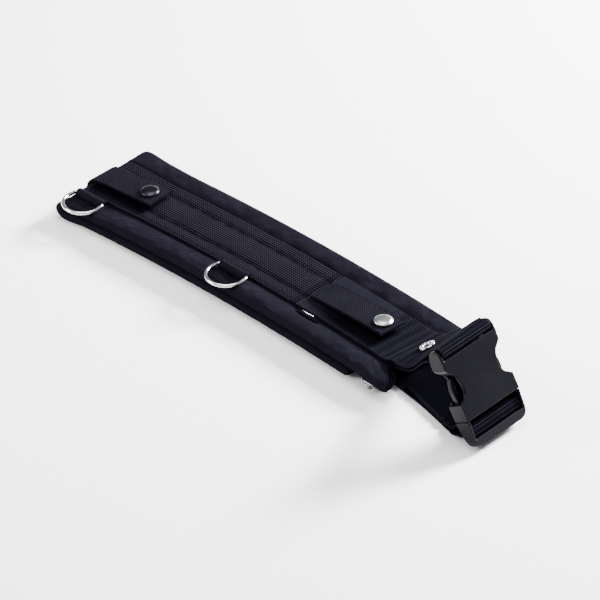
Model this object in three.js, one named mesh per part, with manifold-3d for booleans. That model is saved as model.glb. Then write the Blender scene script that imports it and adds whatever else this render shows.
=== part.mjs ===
// Padded utility belt, buckled shut and laid flat: a padded strip folded in two with its fold at the
// left, flat webbing along its outer side, two snap flaps, D-rings on the near edge, and a side-release
// buckle that stands on its lower end at the right. Millimetres, +Z up, +X from the fold to the buckle.
import * as THREE from 'three';
import Module from 'manifold-3d';

const wasm = await Module();
wasm.setup();
const { Manifold, CrossSection } = wasm;

// Belt lines: s runs from the fold to the buckle, t from the near edge to the far edge, z up.
const PAD = {
  width: 93.5,          // whole width of the padded strip
  lowMid: 4.6,          // height of the lower layer's middle surface
  highMid: 13.9,        // height of the upper layer's middle surface
  half: 4.5,            // half of one layer's thickness on the inner side
  topEnd: 343,          // s of the upper layer's end
  lowEnd: 306.5,        // s of the lower layer's end
};
const FOLD = { s: 9.25, z: (PAD.lowMid + PAD.highMid) / 2, r: (PAD.highMid - PAD.lowMid) / 2 };
const BOW = { rise: 7.24, span: 345 };    // sideways bow of the whole strip

const WEB = { near: 21.5, far: 72.8, gap: 0.35, thick: 1.5 };
const GRIP = {
  thick: 1.5, end: 231.5, start: 96,
  columns: [0, 0.12, 0.2, 0.245, 0.29, 0.4, 0.6, 0.71, 0.755, 0.8, 0.88, 1],   // shares of its width
};
const FLAP = { near: 34, far: 59, thick: 2.2 };
const SNAP = { r: 7.4, height: 3.1, postR: 4.2 };
const WIRE = { r: 1.45, sides: 10 };
const TAB = { outer: 2.85, hole: 1.8 };

// Pose of the buckle: crease line of the webbing on its front plate, then yaw, pitch and roll in degrees.
const BUCKLE = { x: 402.3, y: 29.2, z: 65.9, yaw: 2.8, pitch: 58.7, roll: 3.3 };

const V3 = (x, y, z) => new THREE.Vector3(x, y, z);
const lerp = (a, b, f) => a + (b - a) * f;
const smooth = (a, b, x) => {
  const f = Math.min(1, Math.max(0, (x - a) / (b - a)));
  return f * f * (3 - 2 * f);
};

// Linear look-up in a table of rows [x, value, value ...].
function table(rows, x, column = 1) {
  if (x <= rows[0][0]) return rows[0][column];
  for (let i = 1; i < rows.length; i += 1) {
    if (x <= rows[i][0]) {
      const f = (x - rows[i - 1][0]) / (rows[i][0] - rows[i - 1][0]);
      return lerp(rows[i - 1][column], rows[i][column], f);
    }
  }
  return rows[rows.length - 1][column];
}

// Sideways offset of the belt's line at s.
function bow(s) {
  const f = (s - BOW.span / 2) / (BOW.span / 2);
  return BOW.rise * (1 - f * f);
}

// The fold is fuller towards its far side and pressed lower at its near edge, on its upper half.
const fuller = (s, t, z) => smooth(4, 17, z) * (
  2.5 * smooth(20, 80, t) * (1 - smooth(8, 60, s)) - 1.8 * (1 - smooth(14, 26, t)) * (1 - smooth(34, 70, s))
);

// The upper layer's free end droops at its near corner.
const droop = (s, t, z) => 2.2 * smooth(314, 343, s) * (1 - smooth(12, 34, t)) * smooth(8.6, 9.4, z);

// The near roll's stuffing swells at the free end: 0 before it, 1 at its middle.
const nose = (s, t) => smooth(337, 344, s) * (1 - smooth(15, 24, t));

// The two corners of the fold stand out like a pillow's, by up to 1 along -s.
const ear = (t) => smooth(84, 92, t) + 0.7 * (1 - smooth(2, 9, t));

// Belt point to row frame.
const place = (s, t, z) => V3(s, t + bow(s), z + fuller(s, t, z) - droop(s, t, z));

// Closed surface through equal rings of points. The ends get flat caps unless it is a loop: points
// 0 to split - 1 of a ring run from its near edge to its far edge, the others run back.
function loft(rings, split = 0) {
  const n = rings[0].length;
  const count = rings.length;
  const position = [];
  rings.forEach((ring) => ring.forEach((p) => position.push(p.x, p.y, p.z)));
  const index = [];
  const last = split ? count - 1 : count;
  for (let i = 0; i < last; i += 1) {
    const a = i * n;
    const b = ((i + 1) % count) * n;
    for (let j = 0; j < n; j += 1) {
      const k = (j + 1) % n;
      index.push(a + j, b + j, b + k, a + j, b + k, a + k);
    }
  }
  if (split) {
    capOf(rings[0], split).forEach(([p, q, r]) => index.push(p, q, r));
    const o = (count - 1) * n;
    capOf(rings[count - 1], split).forEach(([p, q, r]) => index.push(o + r, o + q, o + p));
  }
  const geometry = new THREE.BufferGeometry();
  geometry.setAttribute('position', new THREE.Float32BufferAttribute(position, 3));
  geometry.setIndex(index);
  return outward(geometry);
}

// Triangles between the two edges of a ring, taken step by step from the near end to the far end.
function capOf(ring, split) {
  const across = ring[split - 1].clone().sub(ring[0]);
  const along = (i) => ring[i].dot(across);
  const triangles = [];
  let i = 0;
  let j = ring.length - 1;
  while (i < split - 1 || j > split) {
    if (j === split || (i < split - 1 && along(i + 1) <= along(j - 1))) {
      triangles.push([i, i + 1, j]);
      i += 1;
    } else {
      triangles.push([i, j - 1, j]);
      j -= 1;
    }
  }
  return triangles;
}

// Faces turned so that the closed surface encloses a positive volume.
function outward(geometry) {
  const p = geometry.attributes.position;
  const index = geometry.index;
  let volume = 0;
  const [a, b, c] = [V3(0, 0, 0), V3(0, 0, 0), V3(0, 0, 0)];
  for (let i = 0; i < index.count; i += 3) {
    a.fromBufferAttribute(p, index.getX(i));
    b.fromBufferAttribute(p, index.getX(i + 1));
    c.fromBufferAttribute(p, index.getX(i + 2));
    volume += a.dot(b.cross(c));
  }
  if (volume < 0) {
    for (let i = 0; i < index.count; i += 3) {
      const first = index.getX(i);
      index.setX(i, index.getX(i + 2));
      index.setX(i + 2, first);
    }
  }
  geometry.computeVertexNormals();
  return geometry;
}

// Stations along the folded strip: each gives the middle surface and its outward direction.
// `from` and `to` are distances from the fold's outer end on the lower and upper layer.
function foldedPath(from, to, steps, offset = 0) {
  const path = [];
  const low = FOLD.z - FOLD.r;
  const high = FOLD.z + FOLD.r;
  for (let i = 0; i <= steps.low; i += 1) {
    const s = lerp(from, FOLD.s, i / steps.low);
    path.push({ s, z: low - offset, ns: 0, nz: -1, side: -1 });
  }
  for (let i = 1; i < steps.arc; i += 1) {
    const a = -Math.PI / 2 - (Math.PI * i) / steps.arc;
    const ns = Math.cos(a);
    const nz = Math.sin(a);
    path.push({ s: FOLD.s + ns * (FOLD.r + offset), z: FOLD.z + nz * (FOLD.r + offset), ns, nz, side: 0 });
  }
  for (let i = 0; i <= steps.high; i += 1) {
    const s = lerp(FOLD.s, to, i / steps.high);
    path.push({ s, z: high + offset, ns: 0, nz: 1, side: 1 });
  }
  return path;
}

// Rings from stations and a function that gives the closed outline [t, n] at each.
const ringsOn = (path, outline) => path.map((q) => (
  outline(q).map(([t, n]) => place(q.s + q.ns * n, t, q.z + q.nz * n))
));

// Outer surface of one padded layer above its middle surface, across the strip.
const CREST = [
  [0, 0], [0.8, 2.2], [2.6, 3.7], [5.6, 4.45], [9.5, 4.6], [13.5, 3.9], [17, 2.75], [19.4, 2.2],
  [20.9, 2.15], [24, 2.1], [30, 2.0], [34, 1.5], [38, 2.1], [46.8, 2.45], [56, 2.1], [60, 1.5],
  [64, 2.0], [70, 2.1], [73.4, 2.1], [75.2, 2.6], [78, 3.7], [82, 4.35], [86.5, 4.4], [90.2, 3.6],
  [92.6, 2.1], [93.5, 0],
];
const INNER = [[92.6, -2.2], [90.4, -3.9], [87, -4.5], [60, -4.5], [34, -4.5], [6.5, -4.5], [3, -3.9], [0.8, -2.2]];

// The quilted surface flattens to a plain one away from the shown length of the belt.
const quilt = (s, side) => (side > 0 ? smooth(6, 24, s) * (1 - smooth(300, 326, s)) : 0);
const crestAt = (t, s, side) => {
  const shown = table(CREST, t);
  const plain = t > 20.9 && t < 73.4 ? 2.1 : shown;
  return lerp(plain, shown, quilt(s, side));
};

// Swelling of the near roll's free end: longer, deeper on its under side and tucked in.
const NOSE = { long: 3, down: 0.75, tuck: 2.5 };
const EAR = 3;

// Rounding of a layer's end: distance from the end and the share of full thickness left.
const LOW_END = [[0, 0.62], [1.2, 0.86], [3.2, 0.97], [5, 0.93], [6.6, 1]];
const TOP_END = [[0, 0.8], [1, 0.95], [3, 1.04], [5, 1.0], [6.6, 1]];

function paddedBelt() {
  const path = foldedPath(PAD.lowEnd, PAD.topEnd, { low: 9, arc: 8, high: 30 });
  const low = LOW_END.slice(0, 4).map(([d]) => ({ s: PAD.lowEnd - d, z: PAD.lowMid, ns: 0, nz: -1, side: -1 }));
  const high = TOP_END.slice(0, 4).map(([d]) => ({ s: PAD.topEnd - d, z: PAD.highMid, ns: 0, nz: 1, side: 1 }));
  const middle = path.filter((q) => !(q.side < 0 && q.s > PAD.lowEnd - 8) && !(q.side > 0 && q.s > PAD.topEnd - 8));
  const stations = [...low, ...middle, ...high.reverse()];
  const outline = (q) => {
    const low = table(LOW_END, PAD.lowEnd - q.s);
    const top = table(TOP_END, PAD.topEnd - q.s);
    const share = q.side === 0 ? 1 : (q.side < 0 ? low : top);
    const inset = Math.max(0, 1 - share) * 3;
    const dimple = q.side > 0 ? 0.45 * Math.sin((q.s / 29) * 2 * Math.PI) * quilt(q.s, 1) : 0;
    const swell = (t) => (q.side > 0 ? nose(q.s, t) : 0);
    const wide = ([t, n]) => {
      const across = lerp(t, PAD.width / 2, (inset * 2) / PAD.width);
      const full = n < 0 ? 1 + NOSE.down * swell(t) : 1;
      return [across + NOSE.tuck * swell(t) * (1 - smooth(2, 16, t)), n * share * full];
    };
    const outer = CREST.map(([t]) => {
      const far = smooth(74, 82, t) * (1 - smooth(86, 93, t));
      return wide([t, crestAt(t, q.s, q.side) + dimple * far]);
    });
    return [...outer, ...INNER.map(wide)];
  };
  const rings = stations.map((q) => outline(q).map(([t, n]) => {
    const corner = q.side === 0 ? q.ns * EAR * ear(t) : 0;
    const end = q.side > 0 ? NOSE.long * nose(q.s, t) : 0;
    return place(q.s + q.ns * n + corner + end, t, q.z + q.nz * n);
  }));
  return loft(rings, CREST.length);
}

// Flat band that follows the layer's outer surface: lower face on it, upper face `thick` above.
function band(near, far, lift, thick) {
  return (q) => {
    const rows = GRIP.columns.map((f) => {
      const t = lerp(near, far, f);
      return [t, crestAt(t, q.s, q.side) + lift];
    });
    const edge = thick * 0.3;
    const top = rows.map(([t, n], i) => {
      const inset = i === 0 ? edge : (i === rows.length - 1 ? -edge : 0);
      return [t + inset, n + thick];
    });
    return [...rows, ...top.reverse()];
  };
}

// Coarse grip webbing: from under the lower layer, round the fold and along the upper layer.
function gripWebbing() {
  const path = foldedPath(GRIP.start, GRIP.end, { low: 3, arc: 8, high: 20 });
  const outline = band(WEB.near + 0.3, WEB.far, WEB.gap, GRIP.thick);
  return loft(ringsOn(path, outline), GRIP.columns.length);
}

// Frame of the buckle: u across to the far side, v down its length, w out of its front plate.
function buckleAxes() {
  const [yaw, pitch, roll] = [BUCKLE.yaw, BUCKLE.pitch, BUCKLE.roll].map(THREE.MathUtils.degToRad);
  const v = V3(Math.cos(yaw) * Math.cos(pitch), Math.sin(yaw) * Math.cos(pitch), -Math.sin(pitch));
  const level = V3(-Math.sin(yaw), Math.cos(yaw), 0);
  const front = v.clone().cross(level);
  const u = level.clone().multiplyScalar(Math.cos(roll)).addScaledVector(front, Math.sin(roll));
  return { u, v, w: v.clone().cross(u) };
}
const AXES = buckleAxes();
const onBuckle = (u, v, w) => V3(BUCKLE.x, BUCKLE.y, BUCKLE.z)
  .addScaledVector(AXES.u, u).addScaledVector(AXES.v, v).addScaledVector(AXES.w, w);

// Ribbon through stations { p, across, half } with its normal turned towards `out` at the start.
function ribbon(stations, thick, out) {
  const rings = [];
  let normal = out.clone();
  stations.forEach((q, i) => {
    const before = stations[Math.max(0, i - 1)].p;
    const after = stations[Math.min(stations.length - 1, i + 1)].p;
    const run = after.clone().sub(before).normalize();
    const across = q.across.clone().addScaledVector(run, -q.across.dot(run)).normalize();
    const n = run.clone().cross(across).normalize();
    if (n.dot(normal) < 0) n.negate();
    normal = n;
    const h = thick / 2;
    const chamfer = thick * 0.3;
    const half = q.half;
    const outline = [
      [-half, -h + chamfer], [-half + chamfer, -h], [-half / 3, -h], [half / 3, -h], [half - chamfer, -h],
      [half, -h + chamfer], [half, h - chamfer], [half - chamfer, h], [half / 3, h], [-half / 3, h],
      [-half + chamfer, h], [-half, h - chamfer],
    ];
    rings.push(outline.map(([a, b]) => q.p.clone().addScaledVector(across, a).addScaledVector(n, b)));
  });
  return loft(rings, 6);
}

// Arc of points round the centre (v, w) on the buckle, angle 0 along +w and 90 degrees along -v.
function wrap(v, w, r, from, to, steps, half, shift = 0) {
  const points = [];
  for (let i = 0; i <= steps; i += 1) {
    const a = THREE.MathUtils.degToRad(lerp(from, to, i / steps));
    const p = onBuckle(shift, v - Math.sin(a) * r, w + Math.cos(a) * r);
    points.push({ p, across: AXES.u.clone(), half });
  }
  return points;
}

const BAR = { v: -4.2, w: -4.2, r: 2.3 };          // bar of the socket half that carries the webbing
const LADDER = { v0: 51.9, v1: 57.7, w0: -9.6, w1: -4.9 };  // bar of the plug half

// Eyelet through both plies of the rising webbing: its middle on the upper ply, that ply's rise and tip.
const EYELET = { x: 346.6, y: 47.6, z: 26.0, rise: 29, tip: 6.5, hole: 3.9 };

// Free runs of webbing between the pads and the buckle: x, height, sideways centre, tip of the far edge.
const RISE = [
  [328, 17.5, 48.5, -1], [333, 19.4, 48.1, -3], [338, 21.8, 47.5, -3], [343, 23.85, 46.7, 2.5],
  [349, 27.2, 45.5, 6.5], [355, 31.6, 43.7, 8.8], [361, 37.5, 41.4, 9], [367, 44.2, 38.8, 9],
  [373, 50.8, 36.0, 8], [379, 57.0, 33.3, 6.5], [384, 61.8, 31.2, 5], [389, 66.0, 29.5, 3.8],
];
const UNDER = [
  [391.5, 60.6, 29.4, 3.8], [386, 57.8, 30.2, 4.6], [380.5, 54.2, 32.6, 6.2], [375, 49.2, 35.2, 7.6],
  [369, 42.6, 38.0, 9], [363, 35.8, 40.7, 9], [356.5, 29.6, 43.3, 8.8], [350.2, 25.1, 45.3, 7.5],
  [344, 21.7, 46.6, 5.5], [340, 19.6, 47.3, 3.5],
];

function station(x, z, y, half, tip) {
  const angle = THREE.MathUtils.degToRad(tip);
  return { p: V3(x, y, z), across: V3(0, Math.cos(angle), Math.sin(angle)), half };
}

// Webbing from the grip webbing's end over the pad, up to the socket's bar, round it and back.
function buckleWebbing() {
  const half = (WEB.far - WEB.near) / 2;
  const centre = (WEB.far + WEB.near) / 2;
  const start = GRIP.end + 1.1;
  const flat = PAD.highMid + 2.1 + WEB.gap + WEB.thick / 2;
  const stations = [];
  for (let i = 0; i <= 7; i += 1) {
    const s = lerp(start, 322, i / 7);
    const lift = 0.35 * (1 - smooth(300, 326, s));
    stations.push({ p: place(s, centre, flat + lift), across: V3(0, 1, 0), half });
  }
  RISE.forEach(([x, z, y, tip]) => {
    stations.push(station(x, z, y, lerp(half, 25.2, smooth(330, 380, x)), tip));
  });
  stations.push(...wrap(BAR.v, BAR.w, BAR.r + 0.35 + WEB.thick / 2, 100, -80, 10, 25.2));
  UNDER.forEach(([x, z, y, tip]) => stations.push(station(x, z, y, 25.2, tip)));
  const whole = solid(ribbon(stations, WEB.thick, V3(0, 0, 1)));
  const punch = Manifold.cylinder(14, EYELET.hole, EYELET.hole, 24, true)
    .rotate([EYELET.tip, -EYELET.rise, 0]).translate([EYELET.x, EYELET.y, EYELET.z]);
  return toGeometry(whole.subtract(punch));
}

// Strap from the plug's ladder bar down to the floor and back under the lower pad, its tail doubled.
const FLOOR_RUN = [
  [417.2, 5.6, 30.9], [411, 3.0, 32.6], [403, 1.7, 34.8], [392, 1.15, 37.6], [378, 1.15, 41.0],
  [362, 1.15, 44.2], [346, 1.15, 46.8], [330, 1.15, 48.2],
];
const TAIL_RUN = [
  [414.2, 14.2, 30.8], [409.5, 8.6, 32.6], [402, 5.0, 35.2], [392, 3.5, 38.0], [378, 3.2, 41.8],
  [364, 3.2, 45.6], [353, 3.2, 48.2],
];

function returnStrap() {
  const half = 25.2;
  const stations = [];
  TAIL_RUN.slice().reverse().forEach(([x, z, y]) => (
    stations.push({ p: V3(x, y, z), across: V3(0, 1, 0).lerp(AXES.u, smooth(392, 416, x)), half })
  ));
  const r = WEB.thick / 2 + 0.4;
  const bar = (v, w) => ({ p: onBuckle(0, v, w), across: AXES.u.clone(), half });
  stations.push(bar(LADDER.v0 - r, LADDER.w0 - 0.6));
  stations.push(bar(LADDER.v0 - r, LADDER.w1 - 0.4));
  stations.push(bar(LADDER.v0 - r * 0.45, LADDER.w1 + r * 0.75));
  stations.push(bar(LADDER.v0 + 1, LADDER.w1 + r));
  stations.push(bar(LADDER.v1 - 1, LADDER.w1 + r));
  stations.push(bar(LADDER.v1 + r * 0.45, LADDER.w1 + r * 0.75));
  stations.push(bar(LADDER.v1 + r, LADDER.w1 - 0.4));
  stations.push(bar(LADDER.v1 + r, LADDER.w0 - 0.2));
  FLOOR_RUN.forEach(([x, z, y]) => (
    stations.push({ p: V3(x, y, z), across: V3(0, 1, 0).lerp(AXES.u, smooth(392, 416, x)), half })
  ));
  const centre = (WEB.far + WEB.near) / 2;
  for (let i = 0; i <= 6; i += 1) {
    const s = lerp(318, GRIP.start + 1.2, i / 6);
    stations.push({ p: place(s, centre, 1.15), across: V3(0, 1, 0), half: 25.4 });
  }
  return ribbon(stations, WEB.thick, V3(0, 0, 1));
}

// Snap flap: doubled webbing through [s, z] points of its middle surface, tipped to one side.
function flap(points, tip) {
  const centre = (FLAP.near + FLAP.far) / 2;
  const half = (FLAP.far - FLAP.near) / 2;
  const stations = points.map(([s, z], i) => {
    const f = i / (points.length - 1);
    const across = V3(0, 1, tip * f).normalize();
    return { p: place(s, centre, z), across, half };
  });
  return ribbon(stations, FLAP.thick, V3(-0.3, 0, 1));
}

const FLAP_1_TOP = [[16, 20.3], [26, 20.6], [38, 21.2], [50, 22.0], [58, 22.35], [64, 22.4]];
const FLAP_2_TOP = [
  [234.5, 19.7], [240, 20.1], [250, 20.7], [262, 21.5], [276, 22.4], [290, 23.1], [302, 23.5], [310.5, 23.5],
];

function flap1Points() {
  const r = FOLD.r + 2.1 + WEB.gap + GRIP.thick + WEB.gap + 0.35 + FLAP.thick / 2;
  const points = [];
  for (let i = 0; i <= 9; i += 1) {
    const a = THREE.MathUtils.degToRad(lerp(212, 84, i / 9));
    points.push([FOLD.s + Math.cos(a) * r, FOLD.z + Math.sin(a) * r]);
  }
  return [...points, ...FLAP_1_TOP];
}

// Domed cap on a snap flap, standing on the flap at (s, z).
function snapCap(s, z, lean) {
  const profile = [
    [0, 0], [6.2, 0], [7.0, 0.35], [SNAP.r, 1.0], [7.1, 1.7], [5.6, 2.5], [3.2, SNAP.height - 0.1],
    [0, SNAP.height],
  ].map(([x, y]) => new THREE.Vector2(x, y));
  const geometry = new THREE.LatheGeometry(profile, 20);
  geometry.rotateX(Math.PI / 2);
  geometry.rotateX(Math.atan(lean));
  const centre = (FLAP.near + FLAP.far) / 2;
  const p = place(s, centre, z);
  return geometry.translate(p.x, p.y, p.z);
}

// Plain closed stud between the flap and the webbing under it.
function snapPost(s, z0, z1) {
  const profile = [[0, 0], [SNAP.postR, 0], [SNAP.postR, z1 - z0], [0, z1 - z0]]
    .map(([x, y]) => new THREE.Vector2(x, y));
  const geometry = new THREE.LatheGeometry(profile, 20);
  geometry.rotateX(Math.PI / 2);
  const p = place(s, (FLAP.near + FLAP.far) / 2, z0);
  return geometry.translate(p.x, p.y, p.z);
}

// D-ring wire with its straight bar along X at the origin, its bow towards -Y, lying in the XY plane.
// A `square` of 1 gives a round bow `depth` deep, and less gives a flatter one.
function dRing({ halfBar, corner, reach, depth, square, ball }) {
  const line = [];
  const { r } = WIRE;
  const bowR = halfBar + 0.7;
  const straight = 3;
  for (let i = 0; i <= straight; i += 1) {
    line.push([lerp(-halfBar + corner, halfBar - corner, i / straight), 0]);
  }
  for (let i = 1; i <= 3; i += 1) {
    const a = Math.PI / 2 - (Math.PI / 2) * (i / 3);
    line.push([halfBar - corner + Math.cos(a) * corner, -corner + Math.sin(a) * corner]);
  }
  for (let i = 1; i < 16; i += 1) {
    const a = (Math.PI * i) / 16;
    const x = Math.sign(Math.cos(a)) * Math.abs(Math.cos(a)) ** square;
    line.push([x * bowR, -(reach - depth) - Math.sin(a) ** square * depth]);
  }
  for (let i = 3; i >= 1; i -= 1) {
    const a = Math.PI / 2 + (Math.PI / 2) * (i / 3);
    line.push([-halfBar + corner + Math.cos(a) * corner, -corner + Math.sin(a) * corner]);
  }
  const points = line.map(([x, y]) => V3(x, y, 0));
  const rings = points.map((p, i) => {
    const before = points[(i + points.length - 1) % points.length];
    const after = points[(i + 1) % points.length];
    const run = after.clone().sub(before).normalize();
    const side = V3(0, 0, 1).cross(run);
    const ring = [];
    for (let k = 0; k < WIRE.sides; k += 1) {
      const a = (2 * Math.PI * k) / WIRE.sides;
      ring.push(p.clone().addScaledVector(side, Math.cos(a) * r).addScaledVector(V3(0, 0, 1), Math.sin(a) * r));
    }
    return ring;
  });
  const wire = loft(rings);
  if (!ball) return wire;
  return fuse([solid(wire), solid(new THREE.SphereGeometry(2.2, 12, 8).translate(...ball))]);
}

// Rings on the near edge: size, place of the bar, slope of the ring towards the near side (rise per mm),
// and the sewn loop that carries it: its length and where its tail ends.
const LARGE = { halfBar: 14.6, corner: 2.6, reach: 22.8, depth: 15.3, square: 1 };
const SMALL = { halfBar: 7.6, corner: 2.2, reach: 14, depth: 6.5, square: 0.55, ball: [1, -14.3, -1.7] };
const RINGS = [
  { number: 1, size: LARGE, s: 20, t: 15.6, z: 20.4, slope: -0.015, loop: 25, tail: [20.9, 18.8] },
  { number: 2, size: LARGE, s: 169.5, t: 16.8, z: 20.3, slope: 0, loop: 25, tail: [21.2, 17.9] },
  { number: 3, size: SMALL, s: 327.8, t: 18.4, z: 5.4, slope: 0, loop: 11, tail: [25.5, 3.8] },
];

function ringGeometry({ size, s, t, z, slope }) {
  const geometry = dRing(size);
  geometry.rotateX(-Math.atan(slope));
  const p = place(s, t, z);
  return geometry.translate(p.x, p.y, p.z);
}

// Sewn loop of webbing round the ring's bar, its tail against the edge of the flat webbing.
function ringTab({ s, t, z, loop, tail }) {
  const shape = new THREE.Shape();
  const dx = tail[0] - t;
  const dz = tail[1] - z;
  const angle = Math.atan2(dz, dx);
  const length = Math.hypot(dx, dz);
  const half = 1.15;
  const a0 = Math.asin(half / TAB.outer);
  shape.moveTo(Math.cos(a0) * TAB.outer, Math.sin(a0) * TAB.outer);
  const steps = 14;
  for (let i = 1; i <= steps; i += 1) {
    const a = lerp(a0, 2 * Math.PI - a0, i / steps);
    shape.lineTo(Math.cos(a) * TAB.outer, Math.sin(a) * TAB.outer);
  }
  shape.lineTo(length, -half);
  shape.lineTo(length, half);
  const hole = new THREE.Path();
  hole.absarc(0, 0, TAB.hole, 0, Math.PI * 2, true);
  shape.holes.push(hole);
  const geometry = new THREE.ExtrudeGeometry(shape, { depth: loop, bevelEnabled: false, curveSegments: 6 });
  geometry.translate(0, 0, -loop / 2);
  geometry.rotateZ(angle);
  geometry.rotateX(Math.PI / 2);
  geometry.rotateZ(Math.PI / 2);
  const p = place(s, t, z);
  return geometry.translate(p.x, p.y, p.z);
}

// Steel bar that shows in a slit of the near seam.
function seamBar() {
  const profile = [[0, 0], [1.1, 0], [1.1, 14], [0, 14]].map(([x, y]) => new THREE.Vector2(x, y));
  const geometry = new THREE.LatheGeometry(profile, 12);
  geometry.translate(0, -7, 0);
  geometry.rotateZ(Math.PI / 2);
  const p = place(247, 19.55, 18.0);
  geometry.rotateZ(-0.026);
  return geometry.translate(p.x, p.y, p.z);
}

// Closed mesh to a solid and back, for joins and cuts.
function solid(geometry) {
  let g = geometry.clone();
  g.deleteAttribute('normal');
  if (g.attributes.uv) g.deleteAttribute('uv');
  g = weld(g);
  const mesh = new wasm.Mesh({
    numProp: 3,
    vertProperties: new Float32Array(g.attributes.position.array),
    triVerts: new Uint32Array(g.index.array),
  });
  return new Manifold(mesh);
}

// Vertices at one place joined to one.
function weld(geometry) {
  const p = geometry.attributes.position;
  const known = new Map();
  const position = [];
  const remap = [];
  for (let i = 0; i < p.count; i += 1) {
    const key = [p.getX(i), p.getY(i), p.getZ(i)].map((value) => Math.round(value * 1e4)).join();
    if (!known.has(key)) {
      known.set(key, position.length / 3);
      position.push(p.getX(i), p.getY(i), p.getZ(i));
    }
    remap.push(known.get(key));
  }
  const source = geometry.index ? Array.from(geometry.index.array) : remap.map((unused, i) => i);
  const index = [];
  for (let i = 0; i < source.length; i += 3) {
    const [a, b, c] = [remap[source[i]], remap[source[i + 1]], remap[source[i + 2]]];
    if (a !== b && b !== c && c !== a) index.push(a, b, c);
  }
  const out = new THREE.BufferGeometry();
  out.setAttribute('position', new THREE.Float32BufferAttribute(position, 3));
  out.setIndex(index);
  return out;
}

function toGeometry(manifold) {
  const mesh = manifold.getMesh();
  const count = mesh.vertProperties.length / mesh.numProp;
  const position = new Float32Array(count * 3);
  for (let i = 0; i < count; i += 1) {
    for (let k = 0; k < 3; k += 1) position[i * 3 + k] = mesh.vertProperties[i * mesh.numProp + k];
  }
  const geometry = new THREE.BufferGeometry();
  geometry.setAttribute('position', new THREE.BufferAttribute(position, 3));
  geometry.setIndex(Array.from(mesh.triVerts));
  geometry.computeVertexNormals();
  return geometry;
}

const fuse = (solids) => toGeometry(Manifold.union(solids));

// Buckle pieces are drawn in (u, v, w) and then set on the buckle's frame.
const slab = (u0, u1, v0, v1, w0, w1) => (
  Manifold.cube([u1 - u0, v1 - v0, w1 - w0]).translate([u0, v0, w0])
);
const drawn = (outline, w0, w1) => (
  new CrossSection([outline], 'NonZero').extrude(w1 - w0).translate([0, 0, w0])
);
const rod = (v, w, r, halfLength) => (
  Manifold.cylinder(2 * halfLength, r, r, 16, true).rotate([0, 90, 0]).translate([0, v, w])
);

// Half width of the front plate down the buckle: narrow where the release arms stand bare.
const PLATE = [
  [0.9, 26.2], [5, 27.6], [8, 26.8], [11, 22.9], [14.5, 20.2], [19, 18.6], [24, 18.1], [28, 18.9],
  [31, 21.4], [33, 24.6], [35.5, 26.5], [39, 27.2], [47.7, 27.4],
];
const both = (rows) => [
  ...rows.map(([v, h]) => [h, v]),
  ...rows.slice().reverse().map(([v, h]) => [-h, v]),
];

// Side wall at the webbing end, drawn in (v, w).
const CHEEK = [
  [-8.6, -8.8], [-9.0, -5.2], [-7.4, -1.6], [-4.2, 0], [6.2, 0], [6.2, -13.6], [4.0, -14.2], [-3.6, -12.6],
  [-6.8, -10.9],
];

// The side wall runs on along the notch and gets shallower: v, outer half width, depth of its low edge.
const WALL = [[6, 28.3, -13.6], [8.6, 27.2, -11.6], [11.5, 23.9, -7.4], [14, 21.2, -3.6], [20, 19.3, -3.3]];

function notchWall(side) {
  const section = ([v, u, w]) => [[u, v, w], [u, v, 0], [u - 2.2, v, w], [u - 2.2, v, 0]]
    .map(([a, b, c]) => [a * side, b, c]);
  return WALL.slice(1).map((row, i) => Manifold.hull([...section(WALL[i]), ...section(row)]));
}

function cheek(side) {
  const shape = new CrossSection([CHEEK], 'NonZero');
  const body = shape.extrude(2.3).rotate([90, 0, 90]);
  return body.translate([side > 0 ? 26.0 : -28.3, 0, 0]);
}

function buckleSocket() {
  const front = drawn(both(PLATE), -2.2, 0);
  const back = drawn(both(PLATE), -14.4, -12.2);
  const lip = (side) => slab(side > 0 ? 25.2 : -27.4, side > 0 ? 27.4 : -25.2, 34.5, 47.7, -14.4, 0);
  const head = slab(-25.6, 25.6, 0.9, 6.2, -14.4, 0);
  const ribs = [-9, 9].map((u) => slab(u - 0.8, u + 0.8, 6, 20, -12.6, -2));
  const bar = rod(BAR.v, BAR.w, BAR.r, 27);
  const whole = Manifold.union([
    front, back, lip(1), lip(-1), head, bar, cheek(1), cheek(-1), ...notchWall(1), ...notchWall(-1),
    ...ribs,
  ]);
  return setOnBuckle(toGeometry(whole));
}

// Outline of one release arm in (u, v), on the far side.
const ARM = [
  [20.4, 48.6], [20.6, 40], [21.0, 33], [22.0, 25], [21.6, 19.5], [20.4, 16.4], [21.4, 14.8], [23.4, 15.0],
  [25.0, 18.4], [26.0, 24], [25.6, 30.5], [24.6, 34.5], [24.5, 48.6],
];

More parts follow.
